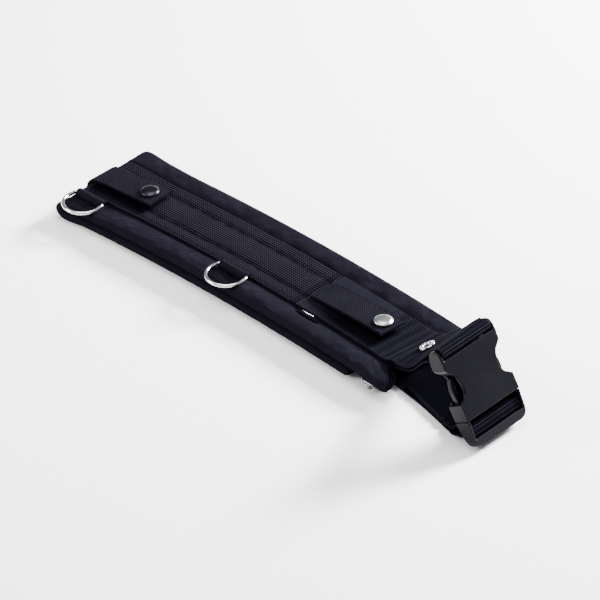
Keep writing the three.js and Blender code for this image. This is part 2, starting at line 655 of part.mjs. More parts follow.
function bucklePlug() {
  const arms = [1, -1].map((side) => {
    const outline = ARM.map(([u, v]) => [u * side, v]);
    if (side > 0) outline.reverse();
    return new CrossSection([outline], 'NonZero').extrude(6.6).translate([0, 0, -10.6]);
  });
  const tongue = drawn([[-3.4, 48.6], [-3.4, 14], [3.4, 14], [3.4, 48.6]].reverse(), -9.2, -5.2);
  const root = slab(-24.5, 24.5, 44.4, 48.9, -10.6, -4);
  const frame = drawn([
    [-27.3, 48.3], [27.3, 48.3], [27.3, 61.5], [25.8, 66.4], [21.5, 69.6], [-21.5, 69.6], [-25.8, 66.4],
    [-27.3, 61.5],
  ], -14.6, -0.6);
  const slopeCut = Manifold.cube([80, 40, 20]).translate([-40, 0, 0])
    .rotate([-7, 0, 0]).translate([0, 50.5, -0.6]);
  const backCut = Manifold.cube([80, 40, 20]).translate([-40, 0, -20])
    .rotate([11, 0, 0]).translate([0, 50.5, -14.6]);
  const slots = [
    slab(-25.8, 25.8, 48.9, LADDER.v0, -20, 5),
    slab(-25.8, 25.8, LADDER.v1, 61.6, -20, 5),
    slab(-25.8, 25.8, 48.9, 61.6, -20, LADDER.w0),
    slab(-25.8, 25.8, 48.9, 61.6, LADDER.w1, 5),
  ];
  const bars = Manifold.union([frame.subtract(slopeCut).subtract(backCut), root]);
  const open = bars.subtract(Manifold.union(slots));
  return setOnBuckle(toGeometry(Manifold.union([open, tongue, ...arms])));
}

function setOnBuckle(geometry) {
  const m = new THREE.Matrix4().makeBasis(AXES.u, AXES.v, AXES.w);
  m.setPosition(BUCKLE.x, BUCKLE.y, BUCKLE.z);
  return outward(geometry.applyMatrix4(m));
}

// Metal eyelet through the rising webbing: a barrel with a rolled flange above and one below.
function grommet() {
  const low = -3.95;
  const high = 1.4;
  const profile = [
    [3.0, low - 0.6], [6.0, low - 0.6], [6.4, low], [3.5, low], [3.5, high], [6.4, high], [6.6, high + 0.4],
    [5.8, high + 1.0], [4.1, high + 1.0], [3.0, high + 0.3], [3.0, low - 0.6],
  ].map(([r, h]) => new THREE.Vector2(r, h));
  const geometry = new THREE.LatheGeometry(profile, 24);
  geometry.rotateX(Math.PI / 2);
  geometry.rotateX(THREE.MathUtils.degToRad(EYELET.tip));
  geometry.rotateY(-THREE.MathUtils.degToRad(EYELET.rise));
  return geometry.translate(EYELET.x, EYELET.y, EYELET.z);
}

const MATERIALS = {
  pad_fabric: { color: 0x1d1d24, roughness: 0.85, metalness: 0 },
  grip_webbing: { color: 0x202027, roughness: 0.9, metalness: 0 },
  webbing: { color: 0x1b1b21, roughness: 0.82, metalness: 0 },
  flap_webbing: { color: 0x1e1e25, roughness: 0.85, metalness: 0 },
  buckle_plastic: { color: 0x26262c, roughness: 0.5, metalness: 0 },
  bright_steel: { color: 0xd9dadd, roughness: 0.15, metalness: 1 },
  snap_metal: { color: 0x3a3a40, roughness: 0.3, metalness: 1 },
};

const belt = new THREE.Group();
belt.name = 'utility_belt';

function add(name, geometry, slot) {
  const material = new THREE.MeshStandardMaterial(MATERIALS[slot]);
  material.name = slot;
  const mesh = new THREE.Mesh(geometry, material);
  mesh.name = name;
  belt.add(mesh);
}

add('padded_belt', paddedBelt(), 'pad_fabric');
add('grip_webbing', gripWebbing(), 'grip_webbing');
add('buckle_webbing', buckleWebbing(), 'webbing');
add('return_strap', returnStrap(), 'webbing');
add('flap_1', flap(flap1Points(), 0.03), 'flap_webbing');
add('flap_2', flap(FLAP_2_TOP, -0.03), 'flap_webbing');
add('snap_cap_1', snapCap(52.8, 23.6, 0.03), 'snap_metal');
add('snap_cap_2', snapCap(300.3, 25.0, -0.03), 'snap_metal');
add('snap_post_1', snapPost(52.8, 18.6, 20.6), 'snap_metal');
add('snap_post_2', snapPost(300.3, 18.6, 21.9), 'snap_metal');
RINGS.forEach((ring) => {
  add(`d_ring_${ring.number}`, ringGeometry(ring), 'bright_steel');
  add(`ring_tab_${ring.number}`, ringTab(ring), 'webbing');
});
add('seam_bar', seamBar(), 'bright_steel');
add('grommet', grommet(), 'bright_steel');
add('buckle_socket', buckleSocket(), 'buckle_plastic');
add('buckle_plug', bucklePlug(), 'buckle_plastic');

// The row frame has its origin at the middle of the underside.
const box = new THREE.Box3().setFromObject(belt);
const middle = box.getCenter(V3(0, 0, 0));
belt.children.forEach((mesh) => mesh.geometry.translate(-middle.x, -middle.y, -box.min.z));

export default belt;
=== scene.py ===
"""Dressed scene of the padded utility belt, laid folded and buckled on a pale floor.

Lengths in the code are millimetres on the belt's own lines: s runs from the fold to the buckle, t from
the near edge to the far edge, z up. BeltLines turns them into the frame's metres.
"""
from __future__ import annotations

import logging
import math
from dataclasses import dataclass, field
from enum import Enum
from typing import Callable, Sequence

import bmesh
import bpy
from mathutils import Matrix, Vector, noise


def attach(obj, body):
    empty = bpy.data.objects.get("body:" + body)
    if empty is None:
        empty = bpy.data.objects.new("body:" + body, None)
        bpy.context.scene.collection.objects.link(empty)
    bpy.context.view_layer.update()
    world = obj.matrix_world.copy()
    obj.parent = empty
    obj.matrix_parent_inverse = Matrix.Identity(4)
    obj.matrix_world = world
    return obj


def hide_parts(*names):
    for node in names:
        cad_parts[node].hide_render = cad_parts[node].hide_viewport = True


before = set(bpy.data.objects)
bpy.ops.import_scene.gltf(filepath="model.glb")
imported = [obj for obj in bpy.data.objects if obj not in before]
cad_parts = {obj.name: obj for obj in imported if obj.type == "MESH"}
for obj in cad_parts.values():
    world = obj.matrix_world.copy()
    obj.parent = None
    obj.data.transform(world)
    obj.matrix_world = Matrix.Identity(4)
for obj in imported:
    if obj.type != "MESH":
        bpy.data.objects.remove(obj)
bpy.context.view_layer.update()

log = logging.getLogger("belt")
MM = 0.001
Rows = Sequence[Sequence[float]]

# Middles across the belt, and what lies on the padded layer's middle surface.
BELT_MID = 47.15
FLAP_MID = 46.5
PAD_HALF = 2.1
PLY_GAP = 0.35
WEB_THICK = 1.5
FLAP_THICK = 2.2

# Pitch, length and thickness of a row's stitches.
THREAD = (3.0, 2.2, 0.5)
SLIM_THREAD = (3.0, 2.2, 0.45)
SHORT_THREAD = (2.8, 2.1, 0.5)


# Small sums

def lerp(a: float, b: float, f: float) -> float:
    """Return the value a share f of the way from a to b."""
    return a + (b - a) * f


def smooth(a: float, b: float, x: float) -> float:
    """Return 0 below a, 1 above b and an S-curve between them."""
    f = min(1.0, max(0.0, (x - a) / (b - a)))
    return f * f * (3 - 2 * f)


def look_up(rows: Rows, x: float) -> float:
    """Read a two-column table with straight lines between its rows.

    Args:
        rows: the table, sorted by its first column.
        x: where to read it.

    Returns:
        The value at x, held level past both ends.
    """
    if x <= rows[0][0]:
        return rows[0][1]
    for before, after in zip(rows, rows[1:]):
        if x <= after[0]:
            return lerp(before[1], after[1], (x - before[0]) / (after[0] - before[0]))
    return rows[-1][1]


def rounded_look_up(rows: Rows, x: float) -> float:
    """Read a two-column table along a smooth curve through its rows.

    Args:
        rows: the table, sorted by its first column.
        x: where to read it.

    Returns:
        The value at x.
    """
    if x <= rows[0][0]:
        return rows[0][1]
    for i in range(1, len(rows)):
        if x <= rows[i][0]:
            (x0, y0), (x1, y1) = rows[i - 1], rows[i]
            before = rows[max(0, i - 2)]
            after = rows[min(len(rows) - 1, i + 1)]
            slope0 = (y1 - before[1]) / max(1e-6, x1 - before[0])
            slope1 = (after[1] - y0) / max(1e-6, after[0] - x0)
            h = x1 - x0
            f = (x - x0) / h
            return (
                (2 * f**3 - 3 * f**2 + 1) * y0 + (f**3 - 2 * f**2 + f) * h * slope0
                + (3 * f**2 - 2 * f**3) * y1 + (f**3 - f**2) * h * slope1
            )
    return rows[-1][1]


def drift(x: float, y: float, z: float = 0.0) -> float:
    """Return smooth noise from about -1 to 1 that is the same on every run."""
    return noise.noise(Vector((x, y, z)))


@dataclass(frozen=True)
class BeltLines:
    """The belt's own lines: its bow, its fold and how its layers lie."""

    shift: tuple[float, float, float] = (216.83834, 46.83669, -0.02805)
    rise: float = 7.24
    span: float = 345.0
    fold_s: float = 9.25
    fold_z: float = 9.25
    fold_r: float = 4.65
    high_mid: float = 13.9

    def bow(self, s: float) -> float:
        """Return how far the belt's line lies to the far side at s."""
        f = (s - self.span / 2) / (self.span / 2)
        return self.rise * (1 - f * f)

    def row(self, x: float, y: float, z: float) -> Vector:
        """Return a point given in straight millimetres as metres in the frame."""
        a, b, c = self.shift
        return Vector(((x - a) * MM, (y - b) * MM, (z - c) * MM))

    def place(self, s: float, t: float, z: float) -> Vector:
        """Return a point on the belt's lines as metres in the frame.

        Args:
            s: length along the belt from its fold.
            t: distance from the near edge.
            z: height over the floor.

        Returns:
            The point, with the bow, the fuller far corner, the pressed near one and the drooping end.
        """
        full = 2.5 * smooth(20, 80, t) * (1 - smooth(8, 60, s))
        pressed = 1.8 * (1 - smooth(14, 26, t)) * (1 - smooth(34, 70, s))
        droop = 2.2 * smooth(314, 343, s) * (1 - smooth(12, 34, t)) * smooth(8.6, 9.4, z)
        return self.row(s, t + self.bow(s), z + smooth(4, 17, z) * (full - pressed) - droop)


LINES = BeltLines()


@dataclass(frozen=True)
class BucklePose:
    """Where the buckle stands: u across to the far side, v down its length, w out of its front."""

    x: float = 402.3
    y: float = 29.2
    z: float = 65.9
    yaw: float = 2.8
    pitch: float = 58.7
    roll: float = 3.3

    def axes(self) -> tuple[Vector, Vector, Vector]:
        """Return the unit directions u, v and w in the frame.

        Returns:
            The three directions, each of length 1.
        """
        yaw, pitch, roll = (math.radians(a) for a in (self.yaw, self.pitch, self.roll))
        v = Vector((math.cos(yaw) * math.cos(pitch), math.sin(yaw) * math.cos(pitch), -math.sin(pitch)))
        level = Vector((-math.sin(yaw), math.cos(yaw), 0))
        u = level * math.cos(roll) + v.cross(level) * math.sin(roll)
        return u, v, v.cross(u)

    def straight(self, u: float, v: float, w: float) -> Vector:
        """Return a point of the buckle in straight millimetres."""
        a, b, c = self.axes()
        return Vector((self.x, self.y, self.z)) + a * u + b * v + c * w

    def matrix(self) -> Matrix:
        """Return the matrix from the buckle's millimetres to the frame's metres.

        Returns:
            The matrix.
        """
        u, v, w = self.axes()
        origin = LINES.row(self.x, self.y, self.z)
        rows = [[u[i] * MM, v[i] * MM, w[i] * MM, origin[i]] for i in range(3)]
        return Matrix(rows + [[0, 0, 0, 1]])


POSE = BucklePose()


# Shader sums and finishes

class Signal:
    """One value in a shader: a socket with the usual arithmetic on it."""

    def __init__(self, draft: "ShaderDraft", socket: bpy.types.NodeSocket) -> None:
        """Wrap a socket of the draft's node tree."""
        self.draft = draft
        self.socket = socket

    def _sum(self, operation: str, *values: object, clamp: bool = False) -> "Signal":
        """Return a Math node of this operation on the values."""
        sockets = dict(enumerate(values))
        return self.draft.node("ShaderNodeMath", {"operation": operation, "use_clamp": clamp}, sockets)

    def __add__(self, other: object) -> "Signal":
        """Return self + other."""
        return self._sum("ADD", self, other)

    __radd__ = __add__

    def __sub__(self, other: object) -> "Signal":
        """Return self - other."""
        return self._sum("SUBTRACT", self, other)

    def __rsub__(self, other: object) -> "Signal":
        """Return other - self."""
        return self._sum("SUBTRACT", other, self)

    def __mul__(self, other: object) -> "Signal":
        """Return self * other."""
        return self._sum("MULTIPLY", self, other)

    __rmul__ = __mul__

    def __truediv__(self, other: object) -> "Signal":
        """Return self / other."""
        return self._sum("DIVIDE", self, other)

    def __pow__(self, power: float) -> "Signal":
        """Return self to a power."""
        return self._sum("POWER", self, power)

    def sin(self) -> "Signal":
        """Return the sine of the value in radians."""
        return self._sum("SINE", self)

    def floor(self) -> "Signal":
        """Return the whole number below the value."""
        return self._sum("FLOOR", self)

    def wave(self, pitch: float, phase: object = 0.0) -> "Signal":
        """Return a ridge from 0 to 1 that repeats every pitch."""
        return (self * (2 * math.pi / pitch) + phase).sin() * 0.5 + 0.5

    def clamp(self) -> "Signal":
        """Return the value held between 0 and 1."""
        return self._sum("ADD", self, 0.0, clamp=True)


class ShaderDraft:
    """A material under construction."""

    def __init__(self, name: str) -> None:
        """Start an empty material.

        Args:
            name: its name.
        """
        self.material = bpy.data.materials.new(name)
        self.material.use_nodes = True
        self.tree = self.material.node_tree
        self.tree.nodes.clear()

    def node(self, kind: str, settings: dict | None = None, sockets: dict | None = None,
             output: int | str = 0) -> Signal:
        """Add one node.

        Args:
            kind: the node's type.
            settings: its own properties, set first.
            sockets: values or signals by input name or number.
            output: which output to return.

        Returns:
            The chosen output.
        """
        made = self.tree.nodes.new(kind)
        for key, value in (settings or {}).items():
            setattr(made, key, value)
        for key, value in (sockets or {}).items():
            target = made.inputs[key]
            if isinstance(value, Signal):
                self.tree.links.new(value.socket, target)
            else:
                target.default_value = value
        return Signal(self, made.outputs[output])

    def weave(self) -> tuple[Signal, Signal]:
        """Return the weave map's two lengths in millimetres.

        Returns:
            The length along the cloth and the length across it.
        """
        found = self.node("ShaderNodeUVMap", {"uv_map": "weave"})
        parts = self.node("ShaderNodeSeparateXYZ", None, {0: found})
        return parts, Signal(self, parts.socket.node.outputs[1])

    def attribute(self, name: str) -> Signal:
        """Return a number that the mesh carries at its points."""
        return self.node("ShaderNodeAttribute", {"attribute_name": name}, None, "Fac")

    def place(self) -> Signal:
        """Return the point's place on the object."""
        return self.node("ShaderNodeTexCoord", None, None, "Object")

    def noise(self, scale: float, detail: float) -> Signal:
        """Return smooth noise from 0 to 1 over the object."""
        sockets = {"Vector": self.place(), "Scale": scale, "Detail": detail}
        return self.node("ShaderNodeTexNoise", None, sockets, "Fac")

    def blend(self, factor: Signal, dark: Sequence[float], light: Sequence[float]) -> Signal:
        """Return a colour between two colours.

        Args:
            factor: 0 for the first colour, 1 for the second.
            dark: the first colour.
            light: the second colour.

        Returns:
            The mixed colour.
        """
        mixed = self.node("ShaderNodeMix", {"data_type": "RGBA"}, None, 2)
        made = mixed.socket.node
        self.tree.links.new(factor.socket, made.inputs[0])
        made.inputs[6].default_value = (*dark, 1)
        made.inputs[7].default_value = (*light, 1)
        return mixed

    def bump(self, height: Signal, distance: float, strength: float = 1.0) -> Signal:
        """Return normals raised by a height from 0 to 1, distance in millimetres."""
        sockets = {"Height": height, "Distance": distance * MM, "Strength": strength}
        return self.node("ShaderNodeBump", None, sockets, "Normal")

    def finish(self, sockets: dict) -> bpy.types.Material:
        """Close the material with one Principled shader.

        Args:
            sockets: values or signals of the shader's inputs by name.

        Returns:
            The finished material.
        """
        shader = self.node("ShaderNodeBsdfPrincipled", None, sockets)
        self.node_output(shader)
        return self.material

    def node_output(self, shader: Signal) -> None:
        """Lead a shader to the material's surface."""
        end = self.tree.nodes.new("ShaderNodeOutputMaterial")
        self.tree.links.new(shader.socket, end.inputs["Surface"])


class Weave(Enum):
    """How a cloth is woven."""

    TWILL = "twill"
    GRID = "grid"
    RIBBED = "ribbed"
    PLAIN = "plain"


@dataclass(frozen=True)
class ClothFinish:
    """A woven cloth: its two tones, its weave, its relief and its roughness."""

    name: str
    weave: Weave
    dark: tuple[float, float, float]
    light: tuple[float, float, float]
    pitch: float
    relief: float
    roughness: float

    def pattern(self, draft: ShaderDraft) -> Signal:
        """Return the height of the threads from 0 to 1.

        Args:
            draft: the material under construction.

        Returns:
            The height.
        """
        u, v = draft.weave()
        if self.weave is Weave.TWILL:
            return (u + v * 2).wave(self.pitch) * 0.7 + (u - v).wave(self.pitch * 0.4) * 0.3
        if self.weave is Weave.GRID:
            return u.wave(self.pitch) * v.wave(self.pitch) * 1.2
        step = (v / (self.pitch * 0.5)).floor() * math.pi
        if self.weave is Weave.RIBBED:
            return u.wave(self.pitch) * 0.6 + u.wave(self.pitch, step) * v.wave(self.pitch * 0.5) * 0.5
        return u.wave(self.pitch, step) * (v.wave(self.pitch * 0.5) * 0.6 + 0.4)

    def material(self) -> bpy.types.Material:
        """Return the cloth's material.

        Returns:
            The finished material.
        """
        draft = ShaderDraft(self.name)
        threads = self.pattern(draft)
        cloud = draft.noise(55.0, 4.0)
        fuzz = draft.noise(900.0, 2.0)
        painted_shade = draft.attribute("painted_shade")
        # The cloth is darkened where the mesh carries painted shade: in creases, grooves, the slit and rib
        # troughs, plus painted shadow beside the flaps and on strap stretches that lie in shade.
        tone = (threads ** 1.6 * (cloud + 0.5) + fuzz * 0.1) * (1 - painted_shade * 0.96)
        height = threads * 0.85 + fuzz * 0.15
        return draft.finish({
            "Base Color": draft.blend(tone.clamp(), self.dark, self.light),
            "Roughness": (cloud * 0.12 + (self.roughness - 0.06)).clamp(),
            "Specular IOR Level": 0.004,
            "Normal": draft.bump(height, self.relief),
        })


@dataclass(frozen=True)
class PlasticFinish:
    """A moulded plastic with a fine satin skin."""

    name: str
    dark: tuple[float, float, float]
    light: tuple[float, float, float]
    roughness: float

    def material(self) -> bpy.types.Material:
        """Return the plastic's material.

        Returns:
            The finished material.
        """
        draft = ShaderDraft(self.name)
        cloud = draft.noise(40.0, 3.0)
        grain = draft.noise(1600.0, 2.0)
        return draft.finish({
            "Base Color": draft.blend(cloud, self.dark, self.light),
            "Roughness": (cloud * 0.1 + grain * 0.08 + (self.roughness - 0.09)).clamp(),
            "Specular IOR Level": 0.09,
            "Normal": draft.bump(grain, 0.03, 0.6),
        })


@dataclass(frozen=True)
class MetalFinish:
    """A plated metal with slight wear."""

    name: str
    dark: tuple[float, float, float]
    light: tuple[float, float, float]
    roughness: float

    def material(self) -> bpy.types.Material:
        """Return the metal's material.

        Returns:
            The finished material.
        """
        draft = ShaderDraft(self.name)
        cloud = draft.noise(180.0, 4.0)
        return draft.finish({
            "Base Color": draft.blend(cloud, self.dark, self.light),
            "Metallic": 1.0,
            "Roughness": (cloud * 0.1 + (self.roughness - 0.05)).clamp(),
        })


class Finishes:
    """Every finish of the belt, made once."""

    def __init__(self) -> None:
        """Build the materials."""
        dark = (0.0003, 0.00025, 0.001)
        self.pad = ClothFinish(
            "pad_cloth", Weave.TWILL, dark, (0.0108, 0.0099, 0.016), 3.5, 0.16, 0.65).material()
        self.grip = ClothFinish(
            "grip_cloth", Weave.GRID, dark, (0.0215, 0.02, 0.0295), 2.2, 0.4, 0.8).material()
        self.webbing = ClothFinish(
            "belt_webbing", Weave.RIBBED, dark, (0.0205, 0.0192, 0.0295), 1.9, 0.3, 0.75).material()
        self.flap = ClothFinish(
            "flap_cloth", Weave.PLAIN, dark, (0.0172, 0.0162, 0.0235), 1.9, 0.25, 0.75).material()
        self.thread = ClothFinish(
            "thread", Weave.PLAIN, (0.0006, 0.0006, 0.0012), (0.0045, 0.0042, 0.0065), 0.6, 0.05, 0.7).material()
        # A dark finish for the disc that stands in for the shade inside the eyelet: painted shade.
        self.painted_bore_shade = ClothFinish(
            "bore_shade", Weave.PLAIN, dark, (0.001, 0.001, 0.0025), 1.9, 0.1, 0.9).material()
        self.plastic = PlasticFinish(
            "buckle_plastic", (0.0013, 0.001, 0.003), (0.0022, 0.0018, 0.0045), 0.36).material()
        self.steel = MetalFinish("bright_steel", (0.56, 0.56, 0.58), (0.7, 0.7, 0.71), 0.16).material()
        # A darker copy of the bright steel for the small ring under the pad's end: painted shade.
        self.steel_painted_shade = MetalFinish("steel_painted_shade", (0.07, 0.07, 0.075), (0.12, 0.12, 0.125), 0.2).material()
        # Two copies of one snap metal: the darker one paints snap 1's shaded look, the lighter one snap 2's
        # painted reflection.
        self.snap_shaded = MetalFinish("snap_shaded", (0.014, 0.013, 0.02), (0.03, 0.029, 0.04), 0.3).material()
        self.snap_lit = MetalFinish("snap_lit", (0.3, 0.3, 0.32), (0.4, 0.4, 0.42), 0.3).material()


# Meshes

def orient(mesh: bpy.types.Mesh) -> None:
    """Turn a closed mesh's faces outwards.

    Args:
        mesh: the mesh, changed in place.
    """
    work = bmesh.new()
    work.from_mesh(mesh)
    if work.calc_volume(signed=True) < 0:
        bmesh.ops.reverse_faces(work, faces=work.faces)
    work.to_mesh(mesh)
    work.free()


def add_object(name: str, mesh: bpy.types.Mesh) -> bpy.types.Object:
    """Return a new object for a mesh, in the scene.

    Args:
        name: the object's name.
        mesh: its mesh.

    Returns:
        The object, at the origin.
    """
    made = bpy.data.objects.new(name, mesh)
    bpy.context.scene.collection.objects.link(made)
    return made


class Draft:
    """Points and faces of one piece, with its weave map in millimetres."""

    def __init__(self) -> None:
        """Start empty."""
        self.points: list[Vector] = []
        self.painted_shade: list[float] = []
        self.numbers: dict[str, list[float]] = {}
        self.faces: list[tuple[int, ...]] = []
        self.maps: list[list[tuple[float, float]]] = []

    def add_tube(self, rows: list[list[Vector]], maps: list[list[tuple[float, float]]],
                 painted_shade: list[list[float]], close: bool = False) -> int:
        """Add a tube of points, one closed ring for each station.

        Args:
            rows: the rings, each with the same number of points.
            maps: the weave map of each ring's points, with one more entry where the ring closes.
            painted_shade: how much painted shade darkens each point, 0 to 1.
            close: whether the two ends get a cap.

        Returns:
            The number of the tube's first point.
        """
        first = len(self.points)
        n = len(rows[0])
        for i, row in enumerate(rows):
            self.points.extend(row)
            self.painted_shade.extend(painted_shade[i])
        for i in range(len(rows) - 1):
            for j in range(n):
                k = (j + 1) % n
                a = first + i * n
                b = a + n
                self.faces.append((a + j, b + j, b + k, a + k))
                m0, m1 = maps[i], maps[i + 1]
                self.maps.append([m0[j], m1[j], m1[j + 1], m0[j + 1]])
        if close:
            self.add_cap(first, n, maps[0], False)
            self.add_cap(first + (len(rows) - 1) * n, n, maps[-1], True)
        return first

    def add_cap(self, first: int, n: int, uv: list[tuple[float, float]], turned: bool) -> None:
        """Close a ring of points whose two halves run opposite ways with a strip of quads.

        Args:
            first: number of the ring's first point.
            n: how many points it has.
            uv: the ring's weave map.
            turned: whether the cap faces the other way.
        """
        for i in range(n // 2 - 1):
            quad = [i, i + 1, n - 2 - i, n - 1 - i]
            if quad[1] == quad[2]:
                quad = [i, i + 1, n - 1 - i]
            if not turned:
                quad.reverse()
            self.faces.append(tuple(first + k for k in quad))
            self.maps.append([uv[k] for k in quad])

    def build(self, name: str, material: bpy.types.Material) -> bpy.types.Object:
        """Make the object.

        Args:
            name: the piece's name.
            material: its finish.

        Returns:
            The object, at the origin.
        """
        mesh = bpy.data.meshes.new(name)
        mesh.from_pydata([tuple(p) for p in self.points], [], self.faces)
        layer = mesh.uv_layers.new(name="weave")
        flat = [value for face in self.maps for pair in face for value in pair]
        layer.data.foreach_set("uv", flat)
        # Each point's painted shade goes to the material as a number.
        painted_shade = mesh.attributes.new("painted_shade", "FLOAT", "POINT")
        painted_shade.data.foreach_set("value", self.painted_shade)
        for key, values in self.numbers.items():
            mesh.attributes.new(key, "FLOAT", "POINT").data.foreach_set("value", values)
        mesh.materials.append(material)
        mesh.shade_smooth()
        orient(mesh)
        mesh.validate()
        return add_object(name, mesh)


class GeometryTree:
    """A Geometry Nodes tree with named inputs, used once and taken off again."""

    def __init__(self, name: str, inputs: dict[str, str]) -> None:
        """Start a tree.

        Args:
            name: its name.
            inputs: socket type by input name, after the geometry.
        """
        self.tree = bpy.data.node_groups.new(name, "GeometryNodeTree")
        face = self.tree.interface
        face.new_socket("Geometry", in_out="INPUT", socket_type="NodeSocketGeometry")
        for key, kind in inputs.items():
            face.new_socket(key, in_out="INPUT", socket_type=kind)
        face.new_socket("Geometry", in_out="OUTPUT", socket_type="NodeSocketGeometry")
        self.start = self.tree.nodes.new("NodeGroupInput")
        self.end = self.tree.nodes.new("NodeGroupOutput")

    def input(self, name: str) -> bpy.types.NodeSocket:
        """Return one of the tree's inputs."""
        return self.start.outputs[name]

    def node(self, kind: str, settings: dict | None = None, sockets: dict | None = None,
             output: int | str = 0) -> bpy.types.NodeSocket:
        """Add one node.

        Args:
            kind: the node's type.
            settings: its own properties, set first.
            sockets: values or sockets by input name or number.
            output: which output to return.

        Returns:
            The chosen output.
        """
        made = self.tree.nodes.new(kind)
        for key, value in (settings or {}).items():
            setattr(made, key, value)
        for key, value in (sockets or {}).items():
            if isinstance(value, bpy.types.NodeSocket):
                self.tree.links.new(value, made.inputs[key])
            else:
                made.inputs[key].default_value = value
        return made.outputs[output]

    def close(self, geometry: bpy.types.NodeSocket, material: bpy.types.NodeSocket) -> None:
        """End the tree in Realize Instances and Set Material.

        Args:
            geometry: the last node's geometry.
            material: the material it gets.
        """
        real = self.node("GeometryNodeRealizeInstances", None, {"Geometry": geometry})
        dressed = self.node("GeometryNodeSetMaterial", None, {"Geometry": real, "Material": material})
        self.tree.links.new(dressed, self.end.inputs[0])

    def apply(self, target: bpy.types.Object, values: dict[str, object]) -> bpy.types.Object:
        """Run the tree on an object and keep the result as its plain mesh.

        Args:
            target: the object whose mesh goes in.
            values: the tree's inputs by name.

        Returns:
            The same object with its new mesh.
        """
        modifier = target.modifiers.new("build", "NODES")
        modifier.node_group = self.tree
        names = {item.name: item.identifier for item in self.tree.interface.items_tree if item.in_out == "INPUT"}
        for key, value in values.items():
            modifier[names[key]] = value
        graph = bpy.context.evaluated_depsgraph_get()
        made = bpy.data.meshes.new_from_object(
            target.evaluated_get(graph), preserve_all_data_layers=True, depsgraph=graph)
        target.modifiers.remove(modifier)
        target.data = made
        return target


def stitch_tree() -> GeometryTree:
    """Return the tree that sets short threads along lines.

    Returns:
        The tree, with the inputs Pitch, Length, Thick and Material.
    """
    tree = GeometryTree("stitches", {
        "Pitch": "NodeSocketFloat", "Length": "NodeSocketFloat", "Thick": "NodeSocketFloat",
        "Material": "NodeSocketMaterial",
    })
    curve = tree.node("GeometryNodeMeshToCurve", None, {"Mesh": tree.input("Geometry")})
    even = tree.node("GeometryNodeResampleCurve", {"mode": "LENGTH"},
                     {"Curve": curve, "Length": tree.input("Pitch")})
    up = tree.node("GeometryNodeInputNamedAttribute", {"data_type": "FLOAT_VECTOR"}, {"Name": "up"})
    run = tree.node("GeometryNodeInputTangent")
    stand = tree.node("FunctionNodeAlignRotationToVector", {"axis": "Z"}, {"Vector": up})
    turn = tree.node("FunctionNodeAlignRotationToVector", {"axis": "X", "pivot_axis": "Z"},
                     {"Rotation": stand, "Vector": run})
    bead = tree.node("GeometryNodeMeshUVSphere", None, {"Segments": 6, "Rings": 4, "Radius": 0.5})
    size = tree.node("ShaderNodeCombineXYZ", None,
                     {"X": tree.input("Length"), "Y": tree.input("Thick"), "Z": tree.input("Thick")})
    threads = tree.node("GeometryNodeInstanceOnPoints", None,
                        {"Points": even, "Instance": bead, "Rotation": turn, "Scale": size})
    soft = tree.node("GeometryNodeSetShadeSmooth", None, {"Geometry": threads})
    tree.close(soft, tree.input("Material"))
    return tree


def rib_tree() -> GeometryTree:
    """Return the tree that raises cross ribs on a woven band, by its run and swell numbers.

    Returns:
        The tree, with the inputs Pitch and Material.
    """
    tree = GeometryTree("ribs", {"Pitch": "NodeSocketFloat", "Material": "NodeSocketMaterial"})
    run = tree.node("GeometryNodeInputNamedAttribute", {"data_type": "FLOAT"}, {"Name": "run"})
    swell = tree.node("GeometryNodeInputNamedAttribute", {"data_type": "FLOAT"}, {"Name": "swell"})
    turns = tree.node("ShaderNodeMath", {"operation": "DIVIDE"}, {0: run, 1: tree.input("Pitch")})
    angle = tree.node("ShaderNodeMath", {"operation": "MULTIPLY"}, {0: turns, 1: 2 * math.pi})
    ridge = tree.node("ShaderNodeMath", {"operation": "SINE"}, {0: angle})
    lift = tree.node("ShaderNodeMath", {"operation": "MULTIPLY"}, {0: ridge, 1: swell})
    normal = tree.node("GeometryNodeInputNormal")
    push = tree.node("ShaderNodeVectorMath", {"operation": "SCALE"}, {0: normal, "Scale": lift})
    moved = tree.node("GeometryNodeSetPosition", None, {"Geometry": tree.input("Geometry"), "Offset": push})
    tree.close(moved, tree.input("Material"))
    return tree


def wire_tree() -> GeometryTree:
    """Return the tree that draws a round wire along a closed line.

    Returns:
        The tree, with the inputs Radius and Material.
    """
    tree = GeometryTree("wire", {"Radius": "NodeSocketFloat", "Material": "NodeSocketMaterial"})
    curve = tree.node("GeometryNodeMeshToCurve", None, {"Mesh": tree.input("Geometry")})
    circle = tree.node("GeometryNodeCurvePrimitiveCircle", None,
                       {"Resolution": 18, "Radius": tree.input("Radius")})
    pipe = tree.node("GeometryNodeCurveToMesh", None, {"Curve": curve, "Profile Curve": circle})
    soft = tree.node("GeometryNodeSetShadeSmooth", None, {"Geometry": pipe})
    tree.close(soft, tree.input("Material"))
    return tree


